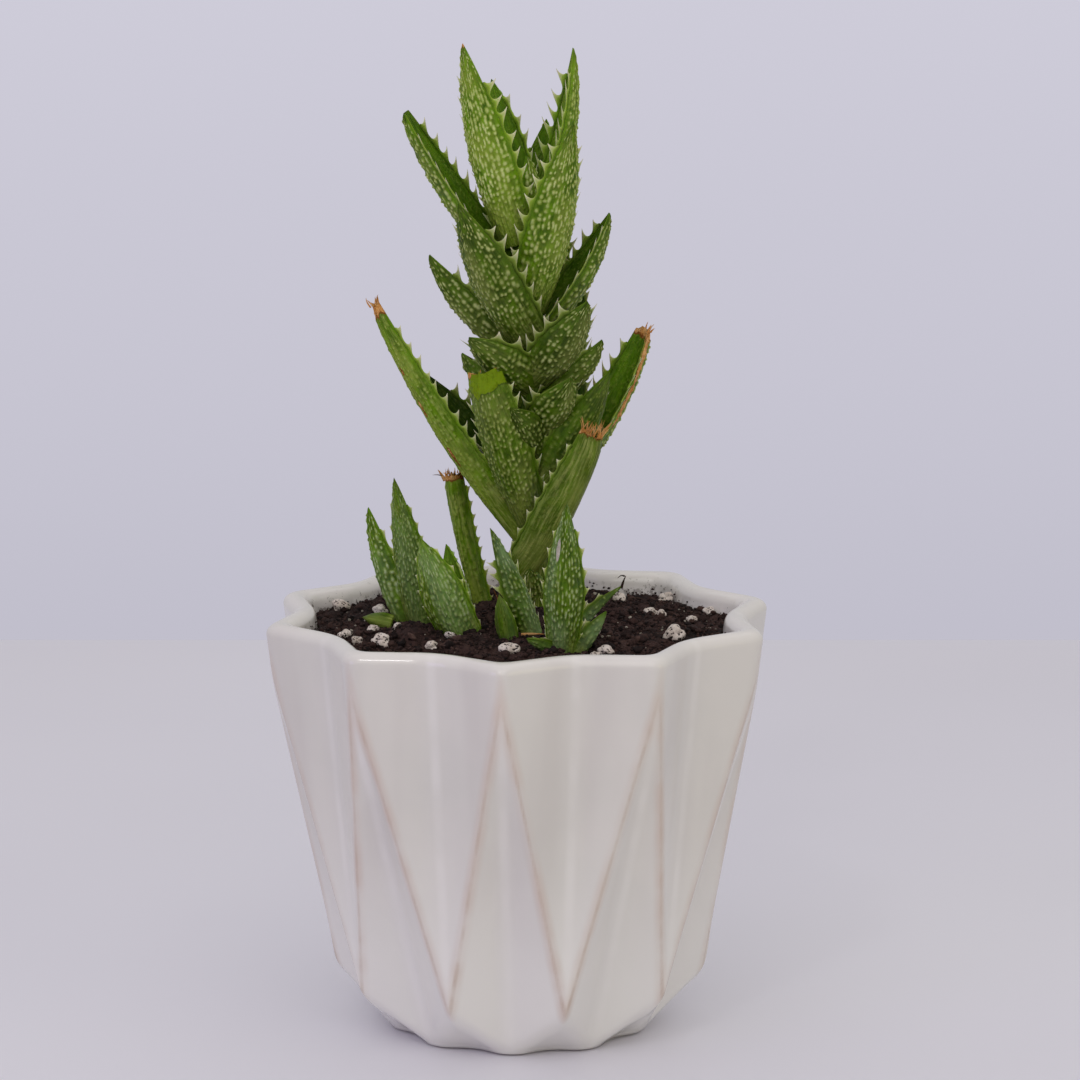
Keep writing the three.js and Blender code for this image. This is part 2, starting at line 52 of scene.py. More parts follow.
# The wall is a zigzag in plan: a "point" is an outer corner of the star at the rim, and a "dent" lies
# halfway between two points. The elbows, low corners of the facets, stand under the dents.
POINTS = 10
FIRST_POINT_DEG = -3.8
RIM_Z, RIM_POINT_R, RIM_DENT_R = 99.4, 61.5, 52.9
ELBOW_Z, ELBOW_R = 12.0, 43.3
FOOT_POINT_R, FOOT_DENT_R = 31.5, 26.5
WALL, FLOOR_Z = 5.4, 7.0
RECESS_R, RECESS_DEPTH = 18.0, 1.5  # the hollow under the foot

SOIL_EDGE_Z, SOIL_CROWN = 94.2, 2.0  # the soil's height at the wall, and how much higher its middle is
SOIL_MOUND_Z, SOIL_MOUND_R = 1.2, 13.0  # the mound round the tall stem

STEM_AXIS = np.array(
    [[2, 18, 80], [2, 18, 98], [4, 18, 122], [4, 18, 142], [1.5, 18, 168], [-1, 18, 192]], float
)
STEM_FOOT_R, STEM_TIP_R = 5.2, 4.0
LEAF_ROOT_R = 2.2  # how far from the axis a leaf starts

TOOTH_LENGTH, TOOTH_SPACING = 3.0, 4.6
FOLD = 0.5  # how far a leaf's margins fold back from its channel, as a share of its half width


def blade(root, tip, facing, width, thick, bow, **rest):
    """A row of the leaf tables. The root is the leaf's base, or its height on the tall stem. Facing is
    the plan angle of its back, in degrees, and bow is how far its middle stands out that way, as a share
    of its length. The rest may give end, the width left at a cut tip, and waist, the width at the base,
    both as shares of the width, and the looks that PLAIN_LOOKS names."""
    return dict(root=root, tip=tip, facing=facing, width=width, thick=thick, bow=bow, **rest)


# Leaves of the tall stem, from the top down.
TALL_LEAVES = [
    blade(184, (-13, 8, 231.5), -34, 12.8, 3.4, 0.05, dry=0.8),
    blade(186, (-6.6, 28.5, 221), 162, 13.5, 3, 0.05),
    # Its ribs of 0.3 pale it: part pale ribs, part painted highlight.
    blade(182, (12.5, 27, 228.5), 104, 11, 3, 0.06, teeth=1.45, ribs=0.3),
    blade(167, (12.5, 9, 213.5), 32, 14, 3.4, 0.06, old=0.25),
    blade(176, (-27, 15, 215), -102, 10.5, 3, 0.04, old=0.3, end=0.25),
    blade(160, (-14, 3, 195), -34, 15, 3.6, 0.07, old=0.75),
    blade(157, (-21, 17, 181), -72, 11, 3.2, 0.08, old=0.75),
    blade(162, (21, 20, 190.5), 105, 11, 3.2, 0.08, old=0.55),
    blade(151, (15.8, 4, 172), 34, 14, 3.6, 0.1, old=0.85),
    blade(150, (-11.7, 4, 163.5), -36, 13, 3.4, 0.06, old=0.75),
    blade(144, (-13.5, 21, 157), -95, 10, 3, 0.1, old=0.7),
    blade(145, (19.3, 16, 161), 78, 10.5, 3, 0.08, old=0.7),
    blade(139, (12, 4, 154), 32, 13, 3.4, 0.08, old=0.8),
    blade(134, (-2, 3, 147), -6, 12, 3.2, 0.08, old=0.9, bloom=0.2),
    blade(
        113, (-34, 11, 171), -62, 10, 3.4, 0.03, end=0.3, old=0.15, waist=0.7, ribs=0.4, spots=0.7, dry=4.4,
        teeth=0.8, slim=0.32, marks=[(0.73, 0.24, 1.5, 0.6, "sore"), (0.58, 0.2, 2.8, 0.5, "sore"),
        (0.38, 0.24, 3.0, 0.55, "sore")],
    ),
    blade(124, (-21.5, 25, 151), -118, 11, 3.2, 0.08, old=0.9),
    blade(
        116, (-9, 2, 156.5), -18, 12, 4.2, 0.05, end=0.66, old=0.6, waist=0.7, ribs=0.25,
        bruise=1, teeth=0.85, marks=[(0.98, -0.75, 1.6, 1.2, "dry")],
    ),
    blade(124, (21, 9, 154.5), 42, 13, 3.6, 0.05, old=0.75, spots=0.45, teeth=0.9),
    blade(
        122, (30, 20, 163.5), 124, 11, 3.4, 0.08, end=0.35, old=0.2, dry=3.5,
        marks=[(0.86, -0.85, 7, 0.7, "dry"), (0.62, -0.85, 8, 0.5, "dry")],
    ),
    blade(
        (-0.2, 13.8, 105), (18, 5, 141), 36, 10.5, 4, 0.05, end=0.62, old=0.65, ribs=0.8, spots=0.4,
        dry=1.8, teeth=0.5,
    ),
    blade(98, (2.5, 9, 107.5), 2, 8.5, 2.4, 0.04, old=0.7),
    blade(188, (1.5, 19.5, 204), 60, 7, 2.2, 0.1),
    blade(188, (-3, 18, 202), 240, 7, 2.2, 0.1),
]

# The young plants, the cut leaf and the loose piece of leaf, by the node that each replaces.
YOUNG_PLANTS = {
    "pup_left": [
        blade((-25.5, 6, 93), (-35.4, 8, 122.4), -60, 8, 2.8, 0.04, teeth=0.6, old=0.2, spots=0.8, bloom=0.5),
        # Its old of 0.45 darkens it all over as painted shade, which sets it apart from the leaf in front.
        blade(
            (-22, 3.5, 93), (-29.2, 0, 131), -12, 10.8, 3.6, 0.04, teeth=0.3, old=0.45, ribs=0.2,
            spots=0.85, bloom=0.5, slim=0.2,
        ),
        blade((-22, 6.5, 93.5), (-22, 16, 111), 170, 7.5, 2.6, 0.05, teeth=0.4),
    ],
    "pup_left_front": [
        blade(
            (-13, -8.5, 93), (-22.9, -14, 119.6), -8, 11.5, 3.6, 0.08, teeth=0.3, ribs=0.15,
            spots=0.85, bloom=0.8,
        ),
        blade((-12.5, -4.5, 93), (-17.2, 2, 114.8), 150, 8.5, 2.6, 0.05, teeth=0.4),
    ],
    "pup_middle": [
        blade((4.2, -11.5, 93), (-6.8, -8, 120.6), 30, 6.8, 2.6, 0.04, old=0.6, spots=0.7, teeth=1.2),
        blade(
            (-2.2, -13.6, 93), (-4.6, -16, 106.6), -15, 5.4, 2, 0.04, teeth=0.15, spots=0.25, ribs=0.3,
            old=0.45,
        ),
        blade((-0.6, -9.8, 93), (-1, -9, 105.4), 10, 2.8, 1.6, 0, teeth=0.15, spots=0.2, old=0.5, ribs=0.5),
    ],
    "pup_front": [
        blade(
            (9.8, -27.5, 92), (11, -31, 131), -6, 10.6, 4.4, 0.05, waist=0.5, teeth=0.45, old=0.5,
            spots=0.8, marks=[(0.73, -0.4, 2.4, 0.7, "scar")],
        ),
        blade((8, -28.5, 96.5), (1.8, -31.5, 99.6), -60, 5, 1.6, 0, teeth=0.3, spots=0.5, old=0.6),
        blade((11.5, -25, 95), (24.1, -16, 108.8), 70, 3.4, 1.7, -0.12, teeth=1.1, spots=0.5, old=0.85),
        blade((12.5, -27.6, 94.5), (20, -24, 104.3), 55, 4.6, 2, 0.02, teeth=1.2, spots=0.5, old=0.8),
        blade((9.5, -25, 93), (7, -20.5, 103), 200, 5, 2, 0.04, teeth=0.6),
    ],
    "leaf_stub": [
        blade(
            (-8.0, 24.5, 92), (-16.2, 24, 128.6), -25, 4.8, 3.2, 0.04, end=1.0, ribs=0.75,
            spots=0.9, bloom=1.5, dry=3.0, teeth=0.9,
        ),
    ],
    "leaf_fragment": [
        blade(
            (-29.8, -1.5, 96.2), (-36.8, 1.5, 97.4), 10, 5.0, 1.8, 0.05, teeth=0, spots=0.06, ribs=0.2,
            old=0.6,
        ),
    ],
}

# Perlite grains on the soil: x, y, size across.
GRAINS = [
    (-42.5, 20.5, 5), (-33, 13.5, 4), (-27.5, 13, 3.4), (-28.4, -3.8, 2.6), (-31.5, -21, 5),
    (-34, -8, 3), (-40.5, -10, 3.4), (-37.5, -16.5, 2.6), (-20, -28, 3), (-2, -30, 5.2),
    (-16, -17, 2.6), (20, -28.5, 4), (17.5, -14, 2.6), (17.5, -32.5, 2.6), (36, -14.5, 5.4),
    (33.5, 9.5, 2.8), (31, 13.5, 3.4), (35, 33, 3.8), (40.5, 7, 2.8), (45, 17, 3),
    (24, 28, 3.2),
]


# ---- Number helpers ----

CELLS = 32  # after which the random tables repeat


def xyz(x, y, z):
    """Points from their three numbers, any of which may be one number for all."""
    return np.stack(np.broadcast_arrays(x, y, z), -1).astype(float)


def polar(angle, r, z=0.0):
    """Points at plan angle "angle", in radians, and r from the axis."""
    return xyz(r * np.sin(angle), -r * np.cos(angle), z)


def full_turn(count):
    """Plan angles all round, in radians."""
    return np.linspace(0, 2 * math.pi, count, endpoint=False)


def around(deg, r, z=0.0):
    """Points at plan angle deg, r from the axis."""
    return polar(np.radians(deg), r, z)


def smoothstep(low, high, x):
    t = np.clip((x - low) / (high - low), 0, 1)
    return t * t * (3 - 2 * t)


def soft_min(a, b, k):
    """The smaller of a and b, rounded over where they differ by less than k."""
    h = np.maximum(k - np.abs(a - b), 0) / k
    return np.minimum(a, b) - h * h * k / 4


def soft_max(a, b, k):
    return -soft_min(-a, -b, k)


def unit(v):
    return v / np.maximum(np.linalg.norm(v, axis=-1, keepdims=True), 1e-9)


def noise(points, size, seed=0):
    """Smooth value noise from -1 to 1, with bumps about "size" across."""
    table = np.random.default_rng(seed).uniform(-1, 1, (CELLS, CELLS, CELLS))
    p = np.asarray(points, float) / size
    cell = np.floor(p).astype(int)
    f = p - cell
    f = f * f * (3 - 2 * f)
    total = np.zeros(p.shape[:-1])
    for corner in np.ndindex(2, 2, 2):
        share = np.prod(np.abs(1 - np.array(corner) - f), -1)
        i, j, k = np.moveaxis((cell + corner) % CELLS, -1, 0)
        total += share * table[i, j, k]
    return total


def grid_faces(rows, columns):
    """Quads of a grid of points, row by row, whose last column meets its first."""
    r = np.arange(rows - 1)[:, None]
    c = np.arange(columns)[None, :]
    a, b = r * columns + c, r * columns + (c + 1) % columns
    return np.stack([a, b, b + columns, a + columns], -1).reshape(-1, 4)


def fan_faces(ring, centre, flip=False):
    """Triangles from the point numbered centre to a closed ring of point numbers."""
    other = np.roll(ring, -1)
    middle = np.full(len(ring), centre)
    return np.stack([other, ring, middle] if flip else [ring, other, middle], -1)


# ---- Pieces ----


class Parts:
    """Meshes gathered into one piece. Each point carries the same named values."""

    def __init__(self, *names):
        self.names = names
        self.points, self.faces, self.count = [], [], 0
        self.values = {name: [] for name in names}

    def add(self, points, *faces, **values):
        """Adds points and their faces. A value is one number, or an array that spreads over the points."""
        points = np.asarray(points, float)
        for name in self.names:
            spread = np.broadcast_to(values.get(name, 0.0), points.shape[:-1])
            self.values[name].append(spread.ravel())
        self.faces += [f + self.count for f in faces]
        self.points.append(points.reshape(-1, 3))
        self.count += len(self.points[-1])

    def add_tube(self, points, ends, **values):
        """Adds rows of points whose first and last rows each close on one of the two ends. A value is one
        number for all, or an array over the rows, alone or with its numbers at the ends."""
        rows, columns = points.shape[:2]
        first = np.arange(columns)
        padded = {}
        for name, value in values.items():
            grid, at_ends = value if isinstance(value, tuple) else (value, (0, 0))
            if np.ndim(grid):
                grid = np.append(np.broadcast_to(grid, (rows, columns)), at_ends)
            padded[name] = grid
        self.add(
            np.concatenate([points.reshape(-1, 3), ends]),
            grid_faces(rows, columns),
            fan_faces(first, rows * columns, flip=True),
            fan_faces(first + (rows - 1) * columns, rows * columns + 1),
            **padded,
        )

    def piece(self, name, material, slot, *nodes):
        """Makes the Blender object, in metres, which rides on the root and replaces the nodes."""
        points = np.concatenate(self.points) * MM
        mesh = bpy.data.meshes.new(name)
        corners = np.concatenate([f.ravel() for f in self.faces]).astype(np.int32)
        sizes = np.concatenate([np.full(len(f), f.shape[1]) for f in self.faces])
        mesh.vertices.add(len(points))
        mesh.vertices.foreach_set("co", points.ravel())
        mesh.loops.add(len(corners))
        mesh.loops.foreach_set("vertex_index", corners)
        mesh.polygons.add(len(sizes))
        mesh.polygons.foreach_set("loop_start", (np.cumsum(sizes) - sizes).astype(np.int32))
        mesh.update(calc_edges=True)
        for value_name in self.names:
            layer = mesh.attributes.new(value_name, "FLOAT", "POINT")
            layer.data.foreach_set("value", np.concatenate(self.values[value_name]).astype(np.float32))
        mesh.shade_smooth()
        mesh.materials.append(material)
        piece = bpy.data.objects.new(name, mesh)
        bpy.context.scene.collection.objects.link(piece)
        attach(piece, "root")
        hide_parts(*nodes)
        return piece


# ---- Materials ----


GLAZE, FRESH_GREEN, DEEP_GREEN = 0xDEDAD2, 0x3E6200, 0x263801


def srgb(code):
    """A colour written as 0xRRGGBB, in Blender's linear numbers."""
    parts = [(code >> shift & 255) / 255 for shift in (16, 8, 0)]
    return [c / 12.92 if c <= 0.04045 else ((c + 0.055) / 1.055) ** 2.4 for c in parts] + [1.0]


class Nodes:
    """Short names for a material's nodes. Most calls return an output socket."""

    def __init__(self, name):
        self.material = bpy.data.materials.new(name)
        self.material.use_nodes = True
        self.tree = self.material.node_tree
        self.shader = self.tree.nodes["Principled BSDF"]
        self.place = self.node("ShaderNodeTexCoord", {}).outputs["Object"]

    def put(self, node, inputs):
        """Links or sets a node's inputs, given by name or number."""
        for key, value in inputs.items():
            if isinstance(value, bpy.types.NodeSocket):
                self.tree.links.new(value, node.inputs[key])
            else:
                node.inputs[key].default_value = value

    def node(self, kind, inputs, **settings):
        made = self.tree.nodes.new(kind)
        for key, value in settings.items():
            setattr(made, key, value)
        self.put(made, inputs)
        return made

    def value(self, name):
        return self.node("ShaderNodeAttribute", {}, attribute_name=name).outputs["Fac"]

    def math(self, operation, a, b, clamp=False):
        return self.node("ShaderNodeMath", {0: a, 1: b}, operation=operation, use_clamp=clamp).outputs[0]

    def times(self, a, b):
        return self.math("MULTIPLY", a, b)

    def plus(self, a, b, clamp=False):
        return self.math("ADD", a, b, clamp)

    def noise(self, scale, detail=3.0, roughness=0.55, place=None):
        inputs = {"Vector": place or self.place, "Scale": scale, "Detail": detail, "Roughness": roughness}
        return self.node("ShaderNodeTexNoise", inputs).outputs["Fac"]

    def ramp(self, x, low, high, to_low=0.0, to_high=1.0):
        inputs = dict(enumerate((x, low, high, to_low, to_high)))
        return self.node("ShaderNodeMapRange", inputs, interpolation_type="SMOOTHSTEP").outputs[0]

    def mix(self, share, a, b):
        a, b = (srgb(color) if isinstance(color, int) else color for color in (a, b))
        inputs = {"Factor": share, "A": a, "B": b}
        return self.node("ShaderNodeMix", inputs, data_type="RGBA").outputs["Result"]

    def height(self):
        """The height in the object, in metres."""
        return self.node("ShaderNodeSeparateXYZ", {0: self.place}).outputs[2]

    def stretched(self, x, y, z):
        """The place in the object with its axes scaled."""
        return self.node("ShaderNodeMapping", {"Vector": self.place, "Scale": (x, y, z)}).outputs[0]

    def leaf_plane(self, stretch):
        """A leaf's own place across and along it, in millimetres, the length scaled by stretch."""
        along = self.times(self.value("along_mm"), stretch)
        return self.node("ShaderNodeCombineXYZ", {0: self.value("across_mm"), 1: along}).outputs[0]

    def bump(self, height, depth_mm, strength=1.0):
        inputs = {"Height": height, "Distance": depth_mm * MM, "Strength": strength}
        self.put(self.shader, {"Normal": self.node("ShaderNodeBump", inputs).outputs[0]})

    def finish(self, color, roughness, **fixed):
        self.put(self.shader, {"Base Color": color, "Roughness": roughness})
        self.put(self.shader, {name.replace("_", " "): value for name, value in fixed.items()})
        return self.material


def pinholes(n):
    """Share of a pinhole at each place: few, small and scattered."""
    holes = n.node("ShaderNodeTexVoronoi", {"Vector": n.place, "Scale": 90.0})
    pick = n.node("ShaderNodeSeparateColor", {0: holes.outputs["Color"]}).outputs[0]
    chosen = n.ramp(pick, 0.94, 0.95)
    return n.times(n.ramp(holes.outputs["Distance"], 0.04, 0.02), chosen)


def soil_dust_and_shade(n, height):
    """Soil and painted shade on the wall inside: a smear low down, part soil, part painted shade, and specks.
    """
    low = n.ramp(height, (RIM_Z - 1.0) * MM, (SOIL_EDGE_Z + 0.3) * MM)
    stain_and_shade = n.times(low, n.ramp(n.noise(110.0, 4.0, 0.65), 0.38, 0.62))
    specks = n.ramp(n.plus(n.noise(700.0, 4.0, 0.7), n.times(low, 0.1)), 0.62, 0.68)
    return n.times(n.value("dust"), n.plus(n.times(stain_and_shade, 0.5), specks, clamp=True))


def glaze_material():
    """Creamy glaze: thin and brownish on the ridges, thick and white in the valleys and paler low down, with
    a few pinholes. Inside, painted light whitens the wall, and soil dust and painted shade darken it, most
    low down."""
    n = Nodes("glaze")
    patches = n.noise(28.0, 3.0)
    uneven = n.noise(70.0, 2.0)
    ridge, bare = n.value("ridge"), n.value("bare")
    color = n.mix(n.ramp(patches, 0.35, 0.7), GLAZE, 0xD8D5CD)
    runs = n.ramp(n.noise(75.0, 2.0, 0.5, n.stretched(1.0, 1.0, 0.1)), 0.42, 0.7, 0.0, 0.45)
    color = n.mix(runs, color, 0xCCC6C0)
    height = n.height()
    low = n.ramp(height, LOW_GLAZE_Z * MM, ELBOW_Z * MM, 0.0, 0.7)
    color = n.mix(low, color, 0xF1EFE9)
    pooled = n.times(n.ramp(n.value("valley"), 1.9, 0.2), n.ramp(uneven, 0.3, 0.7, 0.3, 1.0))
    color = n.mix(n.times(pooled, 0.35), color, 0xF4F1EC)
    halo = n.times(n.ramp(ridge, 2.6, 0.3), n.ramp(uneven, 0.3, 0.7, 0.15, 0.6))
    color = n.mix(halo, color, 0xCFBAAA)
    line = n.times(n.ramp(ridge, 0.8, 0.15), n.ramp(n.noise(160.0), 0.3, 0.75, 0.15, 0.55))
    color = n.mix(line, color, 0xB69C86)
    color = n.mix(n.times(pinholes(n), 0.75), color, 0x5A4A42)
    # Painted light: the wall inside is whitened to stand in for the light that falls on it.
    color = n.mix(n.value("inner"), color, 0xFFF9F8)
    # Soil dust, and painted shade low on the wall inside.
    dust = soil_dust_and_shade(n, height)
    color = n.mix(n.times(dust, 0.75), color, 0x5E4E46)
    color = n.mix(n.times(bare, 0.9), color, 0xC8B09A)
    n.bump(uneven, 0.3, 0.4)
    rough = n.plus(n.times(dust, 0.4), n.ramp(patches, 0.3, 0.7, 0.12, 0.2))
    rough = n.plus(rough, n.times(bare, 0.6))
    return n.finish(color, rough, Coat_Weight=0.4, Coat_Roughness=0.05)


class LeafNodes(Nodes):
    """The leaf's nodes, with what its layers share: textures that follow the leaf, and where spots lie."""

    def __init__(self):
        super().__init__("leaf")
        self.old = self.value("old")
        self.mottled = self.noise(520.0, 3.0, 0.6)
        self.wobble = self.math("SUBTRACT", self.noise(1500.0, 3.0, 0.6), 0.5)
        self.fibres = self.noise(2.1, 3.0, 0.6, self.leaf_plane(0.08))
        self.streaks = self.noise(0.42, 3.0, 0.6, self.leaf_plane(0.35))
        self.spot = self.plus(self.value("spot"), self.times(self.wobble, 0.5))

    def aged(self, fresh, old):
        """A colour between the fresh leaf's and the old one's."""
        return self.mix(self.old, fresh, old)


def leaf_flesh(n):
    """Green in streaks and patches, with pale ribs near the base."""
    basal = n.value("basal")
    color = n.aged(FRESH_GREEN, DEEP_GREEN)
    color = n.mix(n.ramp(n.streaks, 0.4, 0.68, 0.0, 0.85), color, n.aged(0x6E9C00, 0x405C04))
    color = n.mix(n.ramp(n.mottled, 0.45, 0.8, 0.0, 0.35), color, n.aged(0x82A412, 0x56680E))
    channel = n.mix(n.ramp(n.streaks, 0.3, 0.7), 0x48700A, 0x6C980E)
    color = n.mix(n.value("upper"), color, n.aged(channel, 0x1C3203))
    color = n.mix(n.times(basal, 0.4), color, n.aged(0x748A1E, 0x5A681C))
    ribs = n.times(n.ramp(n.fibres, 0.42, 0.66), n.plus(n.times(basal, 0.62), 0.12))
    return n.mix(ribs, color, n.aged(0xB2B868, 0x929A50))


def leaf_spots(n, color):
    """Pale spots in paler rings, under a waxy bloom that leaves the spots' middles clear."""
    cool = n.value("cool")
    halo = n.times(n.ramp(n.spot, 0.24, 0.7), n.ramp(n.streaks, 0.3, 0.65, 0.9, 0.45))
    color = n.mix(halo, color, n.aged(0x96AC42, 0x6A7A30))
    waxy = n.mix(cool, n.aged(0x92A63C, 0x737A42), 0x7E9A74)
    color = n.mix(n.times(n.value("bloom"), 0.55), color, waxy)
    worn = n.ramp(n.noise(190.0, 2.0), 0.3, 0.7, 0.45, 0.95)
    core = n.times(n.ramp(n.spot, 0.5, 1.0), worn)
    return n.mix(core, color, n.mix(cool, n.aged(0xD0DA92, 0xACB476), 0xB8CCA4))


def leaf_margins(n, color):
    """A bright band inside the margin, then the pale rim and the teeth's paler points."""
    edge = n.value("edge")
    color = n.mix(n.times(n.value("band"), 0.35), color, n.aged(0x6C9808, 0x4A660A))
    color = n.mix(n.ramp(edge, 0.45, 1.2), color, n.aged(0x96B23A, 0x76883A))
    color = n.mix(n.ramp(edge, 1.0, 1.35, 0.0, 0.75), color, n.aged(0xC0CA84, 0xA2AA74))
    return n.mix(n.ramp(edge, 1.3, 2.1), color, 0xDEDAB8)


def leaf_damage(n, color):
    """Bruises, dried brown ends, grey scars and dark withered threads. Returns how dry, too."""
    bruise = n.plus(n.value("bruise"), n.times(n.wobble, 0.6))
    color = n.mix(n.ramp(bruise, 0.2, 0.36, 0.0, 0.7), color, 0x33460A)
    color = n.mix(n.ramp(bruise, 0.4, 0.55, 0.0, 0.92), color, n.mix(n.streaks, 0x587200, 0x88A20A))
    brown = n.plus(n.value("dry"), n.times(n.math("SUBTRACT", n.mottled, 0.5), 0.9))
    straw = n.mix(n.ramp(n.fibres, 0.3, 0.7), 0xA4682A, 0xDCA25A)
    straw = n.mix(n.ramp(n.mottled, 0.4, 0.7, 0.0, 0.5), straw, 0xE8C48C)
    dry = n.ramp(brown, 0.35, 0.5)
    color = n.mix(dry, color, n.mix(n.ramp(brown, 0.5, 0.66), 0x7C4A1C, straw))
    color = n.mix(n.ramp(n.value("scar"), 0.25, 0.6), color, n.mix(n.mottled, 0x8E8474, 0xD9D4C8))
    return n.mix(n.ramp(n.value("char"), 0.3, 0.7), color, 0x2A1C16), dry


def leaf_material():
    """Green flesh under pale raised spots, with paler margins and teeth, and dry brown torn ends."""
    n = LeafNodes()
    color, dry = leaf_damage(n, leaf_margins(n, leaf_spots(n, leaf_flesh(n))))
    height = n.plus(n.times(n.mottled, 0.4), n.times(n.fibres, 0.35))
    height = n.plus(height, n.times(n.ramp(n.spot, 0.1, 0.9), 0.8))
    n.bump(n.plus(height, n.times(n.wobble, 0.8)), 0.22, 0.9)
    rough = n.plus(n.ramp(n.mottled, 0.3, 0.7, 0.4, 0.56), n.times(dry, 0.3))
    return n.finish(color, rough, Subsurface_Weight=0.06, Subsurface_Scale=0.001, Specular_IOR_Level=0.12)


def soil_material():
    """Dark brown peat, from nearly black damp crumbs to paler dry ones, with pale dust of perlite."""
    n = Nodes("soil")
    shade = n.plus(n.value("shade"), n.times(n.noise(600.0, 6.0, 0.75), 0.9))
    color = n.mix(n.ramp(shade, 0.3, 1.0), 0x160E0E, 0x48332F)
    color = n.mix(n.ramp(shade, 0.95, 1.6), color, 0x685048)
    color = n.mix(n.value("pale"), color, 0xCFC5B4)
    n.bump(n.noise(1000.0, 6.0, 0.75), 0.9, 1.0)
    return n.finish(color, n.ramp(shade, 0.2, 0.9, 0.75, 0.95), Specular_IOR_Level=0.25)


def perlite_material():
    """Off-white foamed glass with dark pits, darker on its underside and in the creases between its lobes."""
    n = Nodes("perlite")
    pits = n.ramp(n.noise(1300.0, 3.0, 0.6), 0.6, 0.68)
    color = n.mix(n.ramp(n.noise(300.0, 3.0), 0.35, 0.7), 0xEADFD6, 0xCFC0B4)
    color = n.mix(n.times(pits, 0.7), color, 0x5A443A)
    dirt = n.plus(n.value("dirt"), n.times(n.noise(600.0, 3.0, 0.6), 0.6))
    color = n.mix(n.ramp(dirt, 0.75, 1.0), color, 0x2C1E1A)
    n.bump(n.noise(1600.0, 4.0, 0.7), 0.35, 0.9)
    return n.finish(color, 0.85)


# ---- Pot ----

HALF = math.radians(180 / POINTS)
# Over what difference in radius the facets' edges are rounded.
RIDGE_ROUND, VALLEY_ROUND, CORNER_ROUND, KICK_ROUND = 1.2, 2.8, 3.4, 4.0
RIDGES_Z = 91.5  # where the two ridges of a point part, below its rounded corner
LIP_OUT, LIP_IN = 2.6, 2.8  # the lip's roundings
LIP_Z = RIM_Z - LIP_OUT
POT_COLUMNS, WALL_ROWS, LIP_ROWS = 600, 110, 8
FAR_MM = 20.0  # the distance from a ridge or valley that stands for none
DUSTY_SHADED_DEG, SPLASH_DEG = 238, 140  # soil and painted shade inside; a smaller soil patch
LOW_GLAZE_Z = 65.0  # the glaze pales from here down to the elbows


def half_sector(r, share, z):
    """A corner of the facets, from under a point (share 0) to under a dent (share 1)."""
    return np.array([r * math.sin(HALF * share), r * math.cos(HALF * share), z])


RIM_CORNER = half_sector(RIM_POINT_R, 0, RIM_Z)
RIM_DENT = half_sector(RIM_DENT_R, 1, RIM_Z)
ELBOW = half_sector(ELBOW_R, 1, ELBOW_Z)
FOOT_LOBE = half_sector(FOOT_POINT_R, 0, 0)
FOOT_DENT = half_sector(FOOT_DENT_R, 1, 0)


def facet_r(corners, turn, z, inset=0.0):
    """How far from the axis a facet's plane, moved in by inset, is met at the angle "turn" and height z."""
    a, b, c = corners
    normal = unit(np.cross(b - a, c - a))
    normal = normal if normal[1] > 0 else -normal
    reach = normal @ a - inset
    return (reach - normal[2] * z) / (normal[0] * np.sin(turn) + normal[1] * np.cos(turn))


def fold(angle):
    """The angle from the nearest point of the star, in radians."""
    turn = np.mod(angle - math.radians(FIRST_POINT_DEG), 2 * HALF)
    return np.minimum(turn, 2 * HALF - turn)


UPPER_FACET = (RIM_CORNER, RIM_DENT, ELBOW)
RIDGES_PART = half_sector(facet_r(UPPER_FACET, 0.0, RIDGES_Z), 0, RIDGES_Z)
LOWER_FACET = (RIDGES_PART, ELBOW, FOOT_LOBE)
KICK_FACET = (ELBOW, FOOT_DENT, FOOT_LOBE)


def wall_r(angle, z, inset=0.0):
    """The pot's wall at plan angle "angle", in radians, and height z, moved in by inset."""
    turn = fold(angle)
    beyond_dent = 2 * HALF - turn
    soften = 1.0 + 0.35 * inset / WALL
    valley = VALLEY_ROUND * soften

    def facet(corners, way):
        return facet_r(corners, way, z, inset)

    up = soft_max(facet(UPPER_FACET, turn), facet(UPPER_FACET, beyond_dent), valley)
    up = soft_min(up, facet(UPPER_FACET, -turn), CORNER_ROUND * soften)
    low = soft_max(facet(LOWER_FACET, turn), facet(LOWER_FACET, -turn), valley)
    foot = soft_max(facet(KICK_FACET, turn), facet(KICK_FACET, beyond_dent), valley)
    foot = soft_min(foot, facet(KICK_FACET, -turn), KICK_ROUND)
    return soft_min(soft_min(up, low, RIDGE_ROUND * soften), foot, KICK_ROUND)


def line_gap(points, a, b):
    """Distance of points from the line through a and b."""
    return np.linalg.norm(np.cross(points - a, unit(b - a)), axis=-1)


